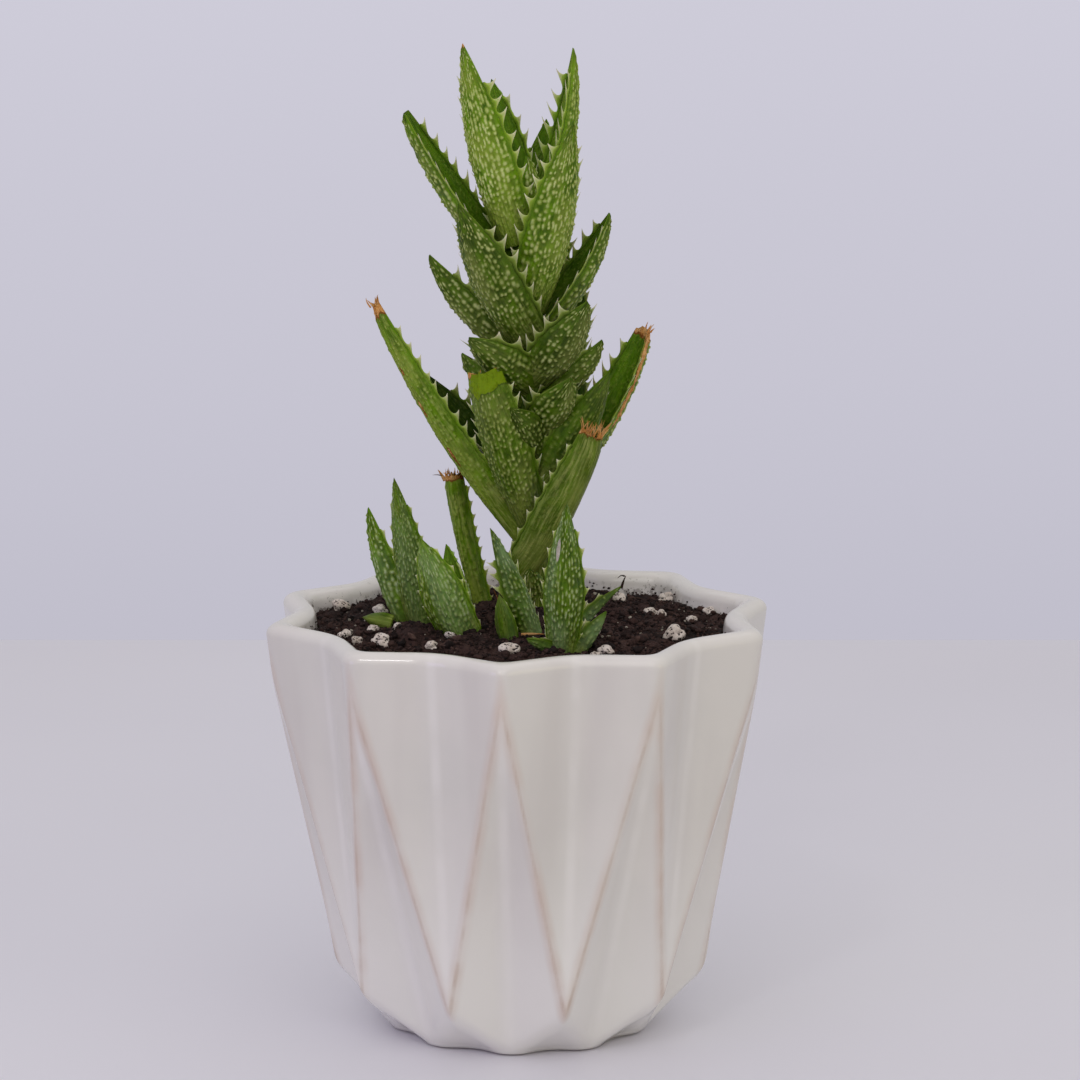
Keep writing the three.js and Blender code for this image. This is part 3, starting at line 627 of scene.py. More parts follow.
def pot_rows(angle):
    """The pot's section from the middle of its underside, round the lip and down inside to the floor. Each
    row holds its radii, its height, how far it is inside (0 to 1) and how bare of glaze (0 to 1)."""
    rows = []

    def circle(r, z):
        """A round row, of the bare hollow under the foot."""
        rows.append((np.full(POT_COLUMNS, r), z, 0.0, 1.0))

    def star(z, inset, level=None, inside=0.0, bare=0.0):
        """A zigzag row at z, inset from the wall's outline at its own height or at the level."""
        rows.append((wall_r(angle, z if level is None else level, inset), z, inside, bare))

    circle(RECESS_R - 1.2, RECESS_DEPTH)
    circle(RECESS_R - 0.3, RECESS_DEPTH - 0.3)
    circle(RECESS_R, 0.2)
    circle(RECESS_R + 0.5, 0.0)
    star(0.0, 1.6, 0.4, bare=1.0)
    star(0.12, 0.7, 0.6, bare=0.6)
    star(0.5, 0.2, 1.0)
    for z in np.linspace(1.2, LIP_Z, WALL_ROWS):
        star(z, 0.0)
    for a in np.radians(np.linspace(10, 90, LIP_ROWS)):
        star(LIP_Z + LIP_OUT * math.sin(a), LIP_OUT * (1 - math.cos(a)), LIP_Z, 0.35 * math.sin(a))
    for a in np.radians(np.linspace(80, 0, LIP_ROWS)):
        across = math.cos(a)
        star(RIM_Z - LIP_IN * (1 - math.sin(a)), LIP_OUT + LIP_IN * across, LIP_Z, 0.35 + 0.4 * across)
    for z in [*np.linspace(RIM_Z - LIP_IN - 1, 88, 8), 70, 45, 25, ELBOW_Z + 2, FLOOR_Z + 1]:
        star(z, WALL, inside=1.0)
    rows.append((wall_r(angle, FLOOR_Z, WALL) * 0.9, FLOOR_Z, 1.0, 0.0))
    return rows


def dust_and_shade_inside(angle, turn, inside):
    """How much soil and painted shade darken the wall: only inside, most at the back left and in the corners.
    """
    smudge_and_shade = smoothstep(0.0, 0.8, np.cos(angle - math.radians(DUSTY_SHADED_DEG)))
    smudge_and_shade = np.maximum(smudge_and_shade, 0.7 * smoothstep(0.94, 1.0, np.cos(angle - math.radians(SPLASH_DEG))))
    return smoothstep(0.3, 1.0, inside) * (0.12 + 0.88 * smudge_and_shade + 0.3 * smoothstep(0.3, 0.0, turn / HALF))


def pot_piece(material):
    parts = Parts("ridge", "valley", "inner", "dust", "bare")
    angle = full_turn(POT_COLUMNS)
    radii, heights, insides, bares = zip(*pot_rows(angle))
    r = np.array(radii)
    z, inside, bare = (np.array(column)[:, None] + 0 * r for column in (heights, insides, bares))
    points = polar(angle, r, z)
    sway = noise(points, 34, 3) * smoothstep(2, 30, z)
    points[..., :2] *= 1 + 0.0022 * sway[..., None]
    points[..., 2] += 0.22 * noise(points * [1, 1, 0], 40, 4) * smoothstep(60, RIM_Z, z)

    turn = fold(angle) + 0 * r
    local = xyz(r * np.sin(turn), r * np.cos(turn), z)
    level = np.clip(z, 0, LIP_Z)
    far = FAR_MM * smoothstep(0.3, 0.9, inside)
    ridge = line_gap(local, RIDGES_PART, ELBOW) + far
    # The valleys: one down the middle of each lower facet pair, one down from each dent of the rim.
    in_lower = facet_r(LOWER_FACET, turn, level) < facet_r(UPPER_FACET, turn, level)
    valley = r * np.sin(np.where(in_lower, turn, HALF - turn)) + far
    parts.add_tube(
        points,
        [[0, 0, RECESS_DEPTH], [0, 0, FLOOR_Z]],
        ridge=(ridge, (FAR_MM, FAR_MM)),
        valley=(valley, (FAR_MM, FAR_MM)),
        # The share inside, where painted light whitens the wall.
        inner=(inside, (0, 1)),
        # The dust value carries painted shade as well as soil.
        dust=(dust_and_shade_inside(angle, turn, inside), (0, 1)),
        bare=(bare, (1, 0)),
    )
    return parts.piece("pot_glazed", material, "glaze", "pot")


# ---- Leaves ----

BACK_COLUMNS, UPPER_COLUMNS = 72, 18
ROW_MM = 0.34  # distance of the rows along a leaf
SPOT_PITCH = np.array([1.45, 0.95])  # of the raised spots on a fresh leaf, along it and across it
SPOT_RISE, PEAK_RISE = 0.15, 0.5  # of every spot, and more for a few of them

# How a leaf looks where its table doesn't say: old from 0, fresh, to 1, dark; cool, how bluish its wax
# and spots are; teeth, spots and bloom as shares of the usual; ribs, how ribbed it is over its whole
# length; dry, the length in millimetres that has dried at the end; bruise, 1 for a bruised top; slim, how
# much narrower the upper part has shrivelled; marks, each a share of the length, a place across from -1
# to 1, half its length and width in millimetres, and its kind.
PLAIN_LOOKS = dict(
    old=0.0, cool=0.0, teeth=1.0, spots=1.0, ribs=0.0, bloom=1.0, dry=0.0, bruise=0.0, slim=0.0, marks=()
)


def stem_points():
    """Points of the tall stem's axis, on a smooth curve through its given points."""
    steps = []
    before, after = 2 * STEM_AXIS[0] - STEM_AXIS[1], 2 * STEM_AXIS[-1] - STEM_AXIS[-2]
    ends = np.concatenate([[before], STEM_AXIS, [after]])
    for k in range(len(STEM_AXIS) - 1):
        a, b, c, d = ends[k : k + 4]
        t = np.linspace(0, 1, 24, endpoint=False)[:, None]
        steps.append(
            0.5 * (2 * b + (c - a) * t + (2 * a - 5 * b + 4 * c - d) * t**2 + (3 * b - a - 3 * c + d) * t**3)
        )
    return np.concatenate(steps + [STEM_AXIS[-1:]])


STEM_POINTS = stem_points()


def root_on_stem(height, facing):
    """Where a leaf that faces the plan angle leaves the tall stem at the height."""
    spot = STEM_POINTS[np.argmax(STEM_POINTS[:, 2] >= height)]
    return spot + around(facing, LEAF_ROOT_R)


def back_leaves():
    """The leaves at the back of the tall stem, which climb it in two ranks."""
    for i in range(8):
        facing = (198, 152)[i % 2] + i % 3 * 4
        lean, length = math.radians(40 - 2.4 * i), 39 - 0.9 * i
        root = root_on_stem(113 + 9.6 * i, facing)
        tip = root + around(facing, length * math.sin(lean), length * math.cos(lean))
        yield blade(root, tip, facing, 13 + 1.2 * math.sin(5.1 * i), 3.4, 0.12, old=0.8 - 0.09 * i)


class Leaf:
    """The leaf's own frame and outline, worked out from its row, and its looks."""

    def __init__(self, root, tip, facing, width, thick, bow, end=0.0, waist=0.82, **looks):
        self.base = np.array(root if np.ndim(root) else root_on_stem(root, facing), float)
        self.tip = np.array(tip, float)
        self.facing = around(facing, 1.0)
        self.width, self.thick, self.end, self.waist = width, thick, end, waist
        self.looks = {**PLAIN_LOOKS, **looks}
        self.length = np.linalg.norm(self.tip - self.base)
        self.control = (self.base + self.tip) / 2 + 2 * bow * self.length * self.facing

    def frame(self, t):
        t = np.asarray(t, float)[..., None]
        centre = (1 - t) ** 2 * self.base + 2 * t * (1 - t) * self.control + t**2 * self.tip
        along = unit(2 * (1 - t) * (self.control - self.base) + 2 * t * (self.tip - self.control))
        out = unit(self.facing - (along @ self.facing)[..., None] * along)
        return centre, along, out, np.cross(along, out)

    def taper(self, t):
        rise = np.minimum(1, self.waist + 2.2 * (1 - self.waist) * t)
        return rise * (self.end + (1 - self.end) * (1 - np.clip(t, 0, 1) ** 2.7))

    def half(self, t):
        return self.width / 2 * self.taper(t) * (1 - self.looks["slim"] * smoothstep(0.15, 0.6, t))

    def margin(self, t, side):
        """Point on a margin, and the way its teeth point."""
        centre, along, out, across = self.frame(t)
        half = self.half(t)[..., None]
        return centre + side * half * across - FOLD * half * out, along, out, side * across


def spot_rows(along, across, length, old, seed):
    """Raised spots in a jittered brick pattern: long and dense on a fresh leaf, rounder on an old one,
    and fewer towards the tip. Returns how far up a spot each place is, and its peak."""
    table = np.random.default_rng(seed).random((CELLS, CELLS, 6))
    pitch_a, pitch_b = SPOT_PITCH * (1 + 0.15 * old)
    column = np.floor(across / pitch_b).astype(int)
    value, peak = np.zeros_like(along), np.zeros_like(along)
    for dj in (-1, 0, 1):
        j = column + dj
        shift = 0.5 * (j % 2)
        row = np.floor(along / pitch_a - shift).astype(int)
        for di in (-1, 0, 1):
            i = row + di
            pick = table[i % CELLS, j % CELLS]
            a = (i + shift + 0.5 + 0.6 * (pick[..., 0] - 0.5)) * pitch_a
            b = (j + 0.5 + 0.5 * (pick[..., 1] - 0.5)) * pitch_b
            long = (0.5 + 0.9 * pick[..., 2] ** 2) * (1 - 0.25 * old)
            wide = 0.28 + 0.27 * pick[..., 3]
            gap = ((along - a) / long) ** 2 + ((across - b) / wide) ** 2
            kept = pick[..., 4] > 0.08 + 0.35 * smoothstep(0.6, 1.0, a / length)
            here = np.exp(-0.8 * gap) * kept
            peak = np.where(here > value, pick[..., 5] ** 2 * here**4, peak)
            value = np.maximum(value, here)
    return value, peak


LEAF_VALUES = (
    "old", "cool", "upper", "spot", "edge", "band", "bloom", "dry", "basal", "bruise", "scar", "char",
    "along_mm", "across_mm",
)


def leaf_section():
    """Places across a leaf, round its back and home over its upper face, and which are on that face."""
    back, over = np.linspace(-1, 1, BACK_COLUMNS + 1), np.linspace(1, -1, UPPER_COLUMNS + 1)[1:-1]
    s = np.concatenate([back, over])
    s = 0.55 * s + 0.45 * np.sin(s * math.pi / 2)
    return s, np.concatenate([np.zeros(len(back)), np.ones(len(over))])


def marks_at(leaf, t, s):
    """The marks of each kind, 0 to 1, over the leaf's places."""
    found = {kind: np.zeros_like(t) for kind in ("dry", "sore", "scar")}
    for at, across, long, wide, kind in leaf.looks["marks"]:
        gap = ((t - at) * leaf.length / long) ** 2 + ((s - across) * leaf.width / 2 / wide) ** 2
        found[kind] = np.maximum(found[kind], np.exp(-0.7 * gap**2))
    return found


def leaf_surface(leaf, s, upper, seed):
    """The leaf's smooth surface: how far along it each row lies, its middle line and its points."""
    rows = max(24, int(leaf.length / ROW_MM))
    t = np.linspace(0, 1.0 if leaf.end else 0.994, rows)[:, None] + 0 * s
    if leaf.end:
        ragged = noise(xyz(s * 4 + seed, upper * 2, 0), 0.9, seed) + noise(xyz(s * 4, upper, seed), 0.3, seed)
        t = t - (1.6 + ragged) / leaf.length * smoothstep(1 - 5 / leaf.length, 1.0, t)
    centre, _, out, across = leaf.frame(t)
    half = leaf.half(t) * (1 + 0.035 * noise(xyz(t * 5, seed, np.sign(s)), 1.0, seed))
    thick = leaf.thick * (0.08 + 0.92 * leaf.taper(t) ** 0.8) * (1 - upper)
    if leaf.end:
        thick = thick * (1 - 0.45 * smoothstep(1 - 6 / leaf.length, 1.0, t))
    bulge = np.maximum(0, 1 - np.abs(s) ** 2.3) ** 0.75
    rise = thick * bulge - FOLD * half * np.abs(s) ** 1.7
    return t, centre, centre + (s * half)[..., None] * across + rise[..., None] * out


def outward(points, centre, upper):
    """The unit normals of a leaf's surface."""
    normal = unit(np.cross(np.gradient(points, axis=0), np.roll(points, -1, 1) - np.roll(points, 1, 1)))
    return normal * np.sign(np.sum(normal * (points - centre) * (1 - upper)[:, None]))


def add_leaf(parts, row, seed, **more):
    leaf = Leaf(**{**more, **row})
    looks = leaf.looks
    s, upper = leaf_section()
    t, centre, points = leaf_surface(leaf, s, upper, seed)
    beside = np.abs(s)

    along_mm = t * leaf.length
    across_mm = s * leaf.width * 0.56 + 0 * t
    spot, peak = spot_rows(along_mm, across_mm + 7.3 * seed, leaf.length, looks["old"], seed)
    ribs = np.clip(looks["ribs"] + smoothstep(0.32, 0.02, t), 0, 1)
    shown = smoothstep(0.99, 0.9, beside) * smoothstep(1.0, 0.93, t) * (1 - 0.75 * ribs)
    share = looks["spots"] * np.where(upper > 0, 0.3, shown)
    wave = noise(xyz(across_mm, along_mm * 0.3, seed), 1.9, seed + 5)
    rise = share * (SPOT_RISE * spot + PEAK_RISE * peak) + (0.06 + 0.1 * ribs) * wave * (1 - t)
    points = points + outward(points, centre, upper) * rise[..., None]

    # The waxy bloom lies in patches along the middle of the back.
    patches = smoothstep(-0.45, 0.5, noise(xyz(across_mm, along_mm * 0.6, seed), 5.0, seed + 9))
    bloom = looks["bloom"] * patches * (1 - beside**3) * (1 - upper) * smoothstep(1.0, 0.8, t)
    found = marks_at(leaf, t, s)
    dry = np.maximum(found["dry"], 0.58 * found["sore"])
    if looks["dry"]:
        torn = t + 0.012 * noise(xyz(s * 6, t * 4, seed), 1, seed)
        dry = np.maximum(dry, smoothstep(1 - 1.6 * looks["dry"] / leaf.length, 1.0, torn))
    bruise = looks["bruise"] * smoothstep(0.84, 0.9, t + 0.04 * noise(xyz(s * 3, t * 3, seed), 0.8, seed))
    tip_centre, tip_along, tip_out, _ = leaf.frame(1.0)
    tip = tip_centre + 0.3 * leaf.thick * leaf.end * tip_out - 2.2 * leaf.end * tip_along
    parts.add_tube(
        points,
        [leaf.base, tip],
        old=looks["old"],
        cool=looks["cool"],
        upper=(upper, (0, 1)),
        spot=spot * np.sqrt(share),
        edge=smoothstep(0.95, 1.0, beside),
        band=smoothstep(0.84, 0.95, beside) * (1 - upper),
        bloom=bloom,
        dry=(dry, (0, 1 if looks["dry"] else 0)),
        basal=(ribs, (1, 0)),
        bruise=(bruise, (0, looks["bruise"])),
        scar=found["scar"],
        along_mm=along_mm + 31 * seed,
        across_mm=across_mm,
    )
    if looks["teeth"]:
        rng = np.random.default_rng(seed)
        for side in (-1, 1):
            add_margin(parts, leaf, side, rng)
    return leaf


# A margin's outline from one tooth's hollow to the next, in shares of half their distance.
TOOTH_STOPS = np.array([-1, -0.72, -0.5, -0.33, -0.2, -0.1, -0.03, 0.03, 0.1, 0.2, 0.33, 0.5, 0.72])
# A rim's section from its root to its crest: its height as a share of the crest's, and half its thickness.
RIM_STEPS = [(-1.0, 0.36), (0.3, 0.24), (0.75, 0.12), (1.0, 0.02)]
RIM_PALE = np.array([0, 0.3, 0.75, 1, 1, 0.75, 0.3, 0])  # over the section's eight points
MARGIN_RISE, RIM_ROOT = 0.25, 0.45
TOOTH_TUCK = 0.95  # how far the teeth turn in over the channel, less so towards the tip


def tooth_places(leaf, rng):
    """The teeth's places along a margin in millimetres, and the distances to the hollows beside each."""
    spacing = TOOTH_SPACING * min(1, 0.45 + leaf.width / 24)
    count = max(2, int(0.9 * leaf.length / spacing))
    places = (np.arange(count) + 0.5 + 0.4 * (rng.random(count) - 0.5)) * spacing
    edges = np.concatenate([[0], (places[1:] + places[:-1]) / 2, [places[-1] + spacing / 2]])
    return places, (places - edges[:-1])[:, None], (edges[1:] - places)[:, None]


def add_margin(parts, leaf, side, rng):
    """A thin pale rim along one margin, which rises in hollow curves to hooked teeth."""
    looks, stops = leaf.looks, len(TOOTH_STOPS)
    places, before, after = tooth_places(leaf, rng)
    count = len(places)
    x = (places[:, None] + TOOTH_STOPS * np.where(TOOTH_STOPS < 0, before, after)).ravel()
    cusp = np.tile((1 - np.abs(TOOTH_STOPS)) ** 2.6, count)
    share = np.clip(places / leaf.length, 0, 1)
    size = min(1, leaf.width / 11) * np.sin(math.pi * (0.16 + 0.76 * share)) ** 0.6 * looks["teeth"]
    if leaf.end:
        size = size * (share < 0.9)
    high = np.repeat(TOOTH_LENGTH * size * (0.8 + 0.35 * rng.random(count)), stops)
    t = np.clip(x / leaf.length, 0, 0.985)
    margin, along, out, away = leaf.margin(t, side)
    lean = np.repeat(0.35 + 0.4 * rng.random(count), stops)[:, None]
    way = unit(away + lean * along - (TOOTH_TUCK * (1 - 0.5 * t))[:, None] * out)
    face = unit(np.cross(way, along))
    ends = smoothstep(0.0, 0.06, t) * smoothstep(0.985, 0.93, t)
    crest = (MARGIN_RISE * looks["teeth"] ** 0.5 + high * cusp) * ends
    one_side, other_side = [], []
    for level, thick in RIM_STEPS:
        rise = crest * level if level > 0 else -RIM_ROOT + 0 * crest
        hook = along * (0.5 * high * cusp**2 * max(level, 0) ** 2)[:, None]
        half = thick * (0.45 + 0.55 * (1 - cusp[:, None])) * min(1, leaf.width / 9)
        middle = margin + way * rise[:, None] + hook
        one_side.append(middle + half * face)
        other_side.insert(0, middle - half * face)
    points = np.stack(one_side + other_side, 1)
    faces = grid_faces(*points.shape[:2])
    burnt = marks_at(leaf, t, side)["dry"]
    if looks["dry"]:
        burnt = np.maximum(burnt, smoothstep(1 - 1.3 * looks["dry"] / leaf.length, 1, t))
    parts.add(
        points,
        faces if side > 0 else faces[:, ::-1],
        old=looks["old"],
        edge=0.55 + 0.55 * RIM_PALE + 1.2 * cusp[:, None] * RIM_PALE,
        dry=burnt[:, None],
        along_mm=x[:, None],
    )


THREAD_STEPS, THREAD_SIDES = 12, 5


def add_thread(parts, start, way, length, thick, curl, seed, **values):
    """A thin tapering thread or strip that wanders from start along way and curls."""
    rng = np.random.default_rng(seed)
    way = unit(np.asarray(way, float))
    turn = unit(np.cross(way, rng.normal(size=3)))
    path = [np.asarray(start, float)]
    for _ in range(THREAD_STEPS - 1):
        way = unit(way + curl * turn / THREAD_STEPS + 0.12 * rng.normal(size=3) / THREAD_STEPS)
        path.append(path[-1] + way * length / (THREAD_STEPS - 1))
    path = np.array(path)
    forward = unit(np.gradient(path, axis=0))
    one = unit(np.cross(forward, turn + 0.1))
    two = np.cross(forward, one)
    width = thick * (1 - np.linspace(0, 1, THREAD_STEPS) ** 1.5 * 0.85)[:, None]
    angles = np.arange(THREAD_SIDES) * 2 * math.pi / THREAD_SIDES
    loop = [path + width * (math.cos(a) * one + 0.45 * math.sin(a) * two) for a in angles]
    parts.add_tube(np.stack(loop, 1), [path[0], path[-1]], **values)


def add_frays(parts, leaf, count, length, thick, seed, **values):
    """Torn fibres that stand up round a leaf's cut end."""
    rng = np.random.default_rng(seed)
    centre, along, out, across = leaf.frame(1 - 1.2 / leaf.length)
    half = leaf.half(1.0)
    for k in range(count):
        s = rng.uniform(-0.95, 0.95)
        rise = rng.choice([0.0, 0.45]) * leaf.thick * (1 - s * s) - FOLD * half * abs(s) ** 1.7
        start = centre + s * half * across + rise * out
        way = along + 0.3 * (rng.normal(size=3) * 0.5 + s * across)
        reach, width, curl = length * rng.uniform(0.5, 1.0), thick * rng.uniform(0.6, 1.2), rng.normal() * 0.9
        add_thread(parts, start, way, reach, width, curl, seed + k, **values)


STEM_COLUMNS, STEM_LOW_Z, STEM_CAP = 48, 88, 6


def stem_piece(material):
    """The tall stem: an uneven tube, ribbed and paler in colour low down, closed over its top."""
    parts = Parts(*LEAF_VALUES)
    path = STEM_POINTS[STEM_POINTS[:, 2] > STEM_LOW_Z]
    turn = full_turn(STEM_COLUMNS)
    share = np.linspace(0, 1, len(path))[:, None]
    r = STEM_FOOT_R + (STEM_TIP_R - STEM_FOOT_R) * share
    ridge = 0.22 * noise(polar(turn, 3, share * 6), 0.8, 9)
    points = path[:, None] + polar(turn, r + ridge)
    heights = points[..., 2]
    last = (len(path) - 1) * STEM_COLUMNS
    parts.add(
        np.concatenate([points.reshape(-1, 3), [path[-1] + [0, 0, STEM_CAP]]]),
        grid_faces(len(path), STEM_COLUMNS),
        fan_faces(np.arange(STEM_COLUMNS) + last, last + STEM_COLUMNS),
        old=0.8,
        basal=np.append(smoothstep(125, 100, heights), 0),
        along_mm=np.append(heights, 0),
        across_mm=np.append(turn * 4 + 0 * heights, 0),
    )
    return parts.piece("main_stem", material, "leaf", "main_shoot")


# ---- Soil and grains ----

# Heaps of the soil, most of them against the wall: x, y, half width, height.
HEAPS = [
    (-30, 31, 4.5, 2.4), (-44, 19, 3.5, 0.9), (-37, 22, 3, 0.8), (6, -36, 6, 0.8),
    (-17, -25, 7, 1.0), (-24, -15.5, 4.8, 3.4),
]
SOIL_COLUMNS, SOIL_RINGS = 480, 150
# Loose crumbs: how many, the least and greatest size, and how finely each is shaped.
CRUMBS = [(600, 1.0, 2.8, 1), (15000, 0.3, 1.15, 0)]
WALL_CRUMBS, DUST_CHIPS, FIBRES = 420, 130, 90


def soil_height(x, y):
    """The soil's surface, without its crumbs."""
    r = np.hypot(x, y) / RIM_DENT_R
    stem = np.hypot(x - STEM_AXIS[0][0], y - STEM_AXIS[0][1]) / SOIL_MOUND_R
    lumps = noise(xyz(x, y, 0), 9.0, 21) + 0.5 * noise(xyz(x, y, 0), 4.5, 22)
    heap = SOIL_CROWN * np.maximum(0, 1 - r * r) + SOIL_MOUND_Z * np.exp(-stem * stem)
    for heap_x, heap_y, wide, high in HEAPS:
        heap = heap + high * np.exp(-((x - heap_x) ** 2 + (y - heap_y) ** 2) / wide**2)
    return SOIL_EDGE_Z + heap + 0.75 * lumps


def icosphere(subdivisions):
    """Points and triangles of a unit icosphere."""
    made = bmesh.new()
    bmesh.ops.create_icosphere(made, subdivisions=subdivisions, radius=1.0)
    points = np.array([v.co for v in made.verts])
    faces = np.array([[v.index for v in f.verts] for f in made.faces])
    made.free()
    return points, faces


def spins(rng, count):
    """Random rotation matrices."""
    w, x, y, z = unit(rng.normal(size=(count, 4))).T
    rows = [
        (1 - 2 * (y * y + z * z), 2 * (x * y - z * w), 2 * (x * z + y * w)),
        (2 * (x * y + z * w), 1 - 2 * (x * x + z * z), 2 * (y * z - x * w)),
        (2 * (x * z - y * w), 2 * (y * z + x * w), 1 - 2 * (x * x + y * y)),
    ]
    return np.moveaxis(np.array(rows), -1, 0)


def scatter(parts, centres, sizes, rng, detail=1, **values):
    """Small lumpy crumbs at the given centres, with one of each value for every crumb."""
    shape, faces = icosphere(detail + 1)
    count = len(centres)
    uneven = 0.62 + 0.7 * rng.random((count, len(shape), 1))
    lumps = shape[None] * uneven * sizes[:, None, None] / 2
    lumps = lumps * rng.uniform(0.55, 1.0, (count, 1, 3))
    lumps = np.einsum("nij,nkj->nki", spins(rng, count), lumps)
    lumps[..., 2] *= 0.8
    numbers = faces[None] + len(shape) * np.arange(count)[:, None, None]
    spread = {name: value[:, None] for name, value in values.items()}
    parts.add(lumps + centres[:, None], numbers.reshape(-1, 3), **spread)


def random_soil_spots(rng, count, reach=0.985):
    """Random places on the soil, x and y."""
    angle = rng.uniform(0, 2 * math.pi, count)
    r = wall_r(angle, SOIL_EDGE_Z, WALL + 0.4) * np.sqrt(rng.random(count)) * reach
    return r * np.sin(angle), -r * np.cos(angle)


def add_soil_body(parts):
    """The soil's side and its cloddy top, from its floor to its middle."""
    angle = full_turn(SOIL_COLUMNS)
    reach = wall_r(angle, SOIL_EDGE_Z, WALL + 0.35)
    share = np.linspace(1, 0.004, SOIL_RINGS)[:, None]
    x, y = share * reach * np.sin(angle), -share * reach * np.cos(angle)
    place = xyz(x, y, 0)
    clods = np.abs(noise(place, 4.2, 35)) + 0.6 * np.abs(noise(place, 2.0, 33))
    z = soil_height(x, y) + 0.9 * clods + 0.45 * noise(place, 1.1, 32) - 0.45
    top = xyz(x, y, z)
    low = FLOOR_Z + 0.5
    levels = low, ELBOW_Z + 2, 50.0, 85.0
    skirt = [polar(angle, wall_r(angle, level, WALL + 0.4), level) for level in levels]
    shade = np.concatenate([np.zeros((len(levels), SOIL_COLUMNS)), 0.3 + 0.4 * noise(top, 6, 34)])
    ends = [[0, 0, low], [0, 0, z[-1].mean()]]
    parts.add_tube(np.concatenate([np.stack(skirt), top]), ends, shade=(shade, (0, 0.3)))


def add_wall_crumbs(parts, rng):
    """Crumbs that climb the wall inside, more of them at the back."""
    turn = rng.uniform(0, 2 * math.pi, WALL_CRUMBS)
    climb = 2.6 * rng.random(WALL_CRUMBS) ** 2.6 * (0.6 - 0.4 * np.cos(turn))
    z = SOIL_EDGE_Z + 0.4 + climb
    sizes = 0.2 + 0.6 * rng.random(WALL_CRUMBS) ** 2
    centres = polar(turn, wall_r(turn, z, WALL + 0.1), z)
    scatter(parts, centres, sizes, rng, shade=rng.random(WALL_CRUMBS) * 0.5)


def soil_piece(material):
    parts = Parts("shade", "pale")
    rng = np.random.default_rng(77)
    add_soil_body(parts)
    for count, least, most, detail in CRUMBS:
        x, y = random_soil_spots(rng, count)
        sizes = least + (most - least) * rng.random(count) ** 2.5
        centres = xyz(x, y, soil_height(x, y) + 0.25 * sizes + 0.2)
        scatter(parts, centres, sizes, rng, detail, shade=rng.random(count) ** 1.6 * 0.9)
    add_wall_crumbs(parts, rng)
    # Dust and chips of perlite too small to be grains of their own.
    x, y = random_soil_spots(rng, DUST_CHIPS)
    sizes = 0.4 + 0.9 * rng.random(DUST_CHIPS) ** 2
    centres = xyz(x, y, soil_height(x, y) + 0.5)
    scatter(parts, centres, sizes, rng, pale=rng.uniform(0.5, 1.0, DUST_CHIPS))
    add_fibres(parts, rng)
    return parts.piece("soil_crumbly", material, "soil", "soil")


def add_fibres(parts, rng):
    """Thin root and peat fibres that lie on the soil."""
    sides, steps = 4, 7
    up = np.array([0, 0, 1])
    angles = np.arange(sides) * math.pi / 2
    for x, y in zip(*random_soil_spots(rng, FIBRES, 0.92)):
        way, bend = rng.uniform(0, 2 * math.pi), rng.uniform(-0.5, 0.5)
        length, thick = rng.uniform(1.5, 5.5), rng.uniform(0.06, 0.14)
        turns = way + bend * np.arange(steps)
        path = np.cumsum(np.stack([np.cos(turns), np.sin(turns)], -1) * length / steps, 0) + [x, y]
        z = soil_height(path[:, 0], path[:, 1]) + 0.7 + 0.3 * rng.random()
        centre = np.column_stack([path, z])
        side = xyz(-np.sin(turns), np.cos(turns), 0)
        loop = [centre + thick * (math.cos(a) * side + math.sin(a) * up) for a in angles]
        parts.add(np.stack(loop, 1), grid_faces(steps, sides), shade=rng.uniform(0.5, 1.3))


def popcorn(shape, rng, lobes):
    """Radius of a lumpy grain in the directions of shape, and how deep each place lies between lobes."""
    middles = unit(rng.normal(size=(lobes, 3))) * rng.uniform(0.35, 0.62, (lobes, 1))
    radii = rng.uniform(0.3, 0.5, lobes)
    along = shape @ middles.T
    reach = radii**2 - np.sum(middles**2, 1) + along**2
    hits = np.where(reach > 0, along + np.sqrt(np.maximum(reach, 0)), 0)
    hits = np.sort(np.concatenate([hits, np.full((len(shape), 1), 0.55)], 1), 1)
    first, second = hits[:, -1], hits[:, -2]
    return soft_max(first, second, 0.12), smoothstep(0.14, 0.0, first - second)


def perlite_piece(material):
    parts = Parts("dirt")
    shape, faces = icosphere(4)
    least_z = SOIL_EDGE_Z + SOIL_CROWN * 0.5
    for i, (x, y, size) in enumerate(GRAINS):
        rng = np.random.default_rng(500 + i)
        r, crease = popcorn(shape, rng, 16)
        grit = noise(shape + i, 0.16, 40 + i)
        pits = smoothstep(0.3, 0.5, noise(shape + i, 0.17, 90 + i))
        points = shape * (r + 0.03 * grit - 0.1 * pits)[:, None]
        points = points * rng.uniform(0.8, 1.0, 3) @ spins(rng, 1)[0].T * [1.0, 0.95, 0.8]
        points = points * size / np.ptp(points, axis=0).max()
        rest_z = soil_height(np.array(x), np.array(y)) + 0.16 * size + 0.3
        # Darker on the underside, in the creases between lobes and in the pits.
        dirt = 0.75 * smoothstep(0.02, -0.3, points[:, 2] / size) + pits + 0.4 * crease
        parts.add(points + [x, y, max(least_z, rest_z)], faces, dirt=dirt)
    nodes = ["perlite_%02d" % (i + 1) for i in range(len(GRAINS))]
    return parts.piece("perlite_grains", material, "perlite", *nodes)


# ---- Scene ----

CAMERA_AT = Vector((0.00484, -1.2140, 0.3589))
LOOKS_AT = Vector((0.00484, 0.0, 0.11613))
LENS = 176.63
TABLE_HALF, TABLE_BACK_Y = 3.0, 0.42
WORLD_LIGHT = 0.55
BACKDROP_R = 4.0
BACKDROP_COLORS = 0xC0BECB, 0xC8C6D3, 0xCFCDDA  # painted glow at the table's edge, half-way up and at the top; darker low as painted shade

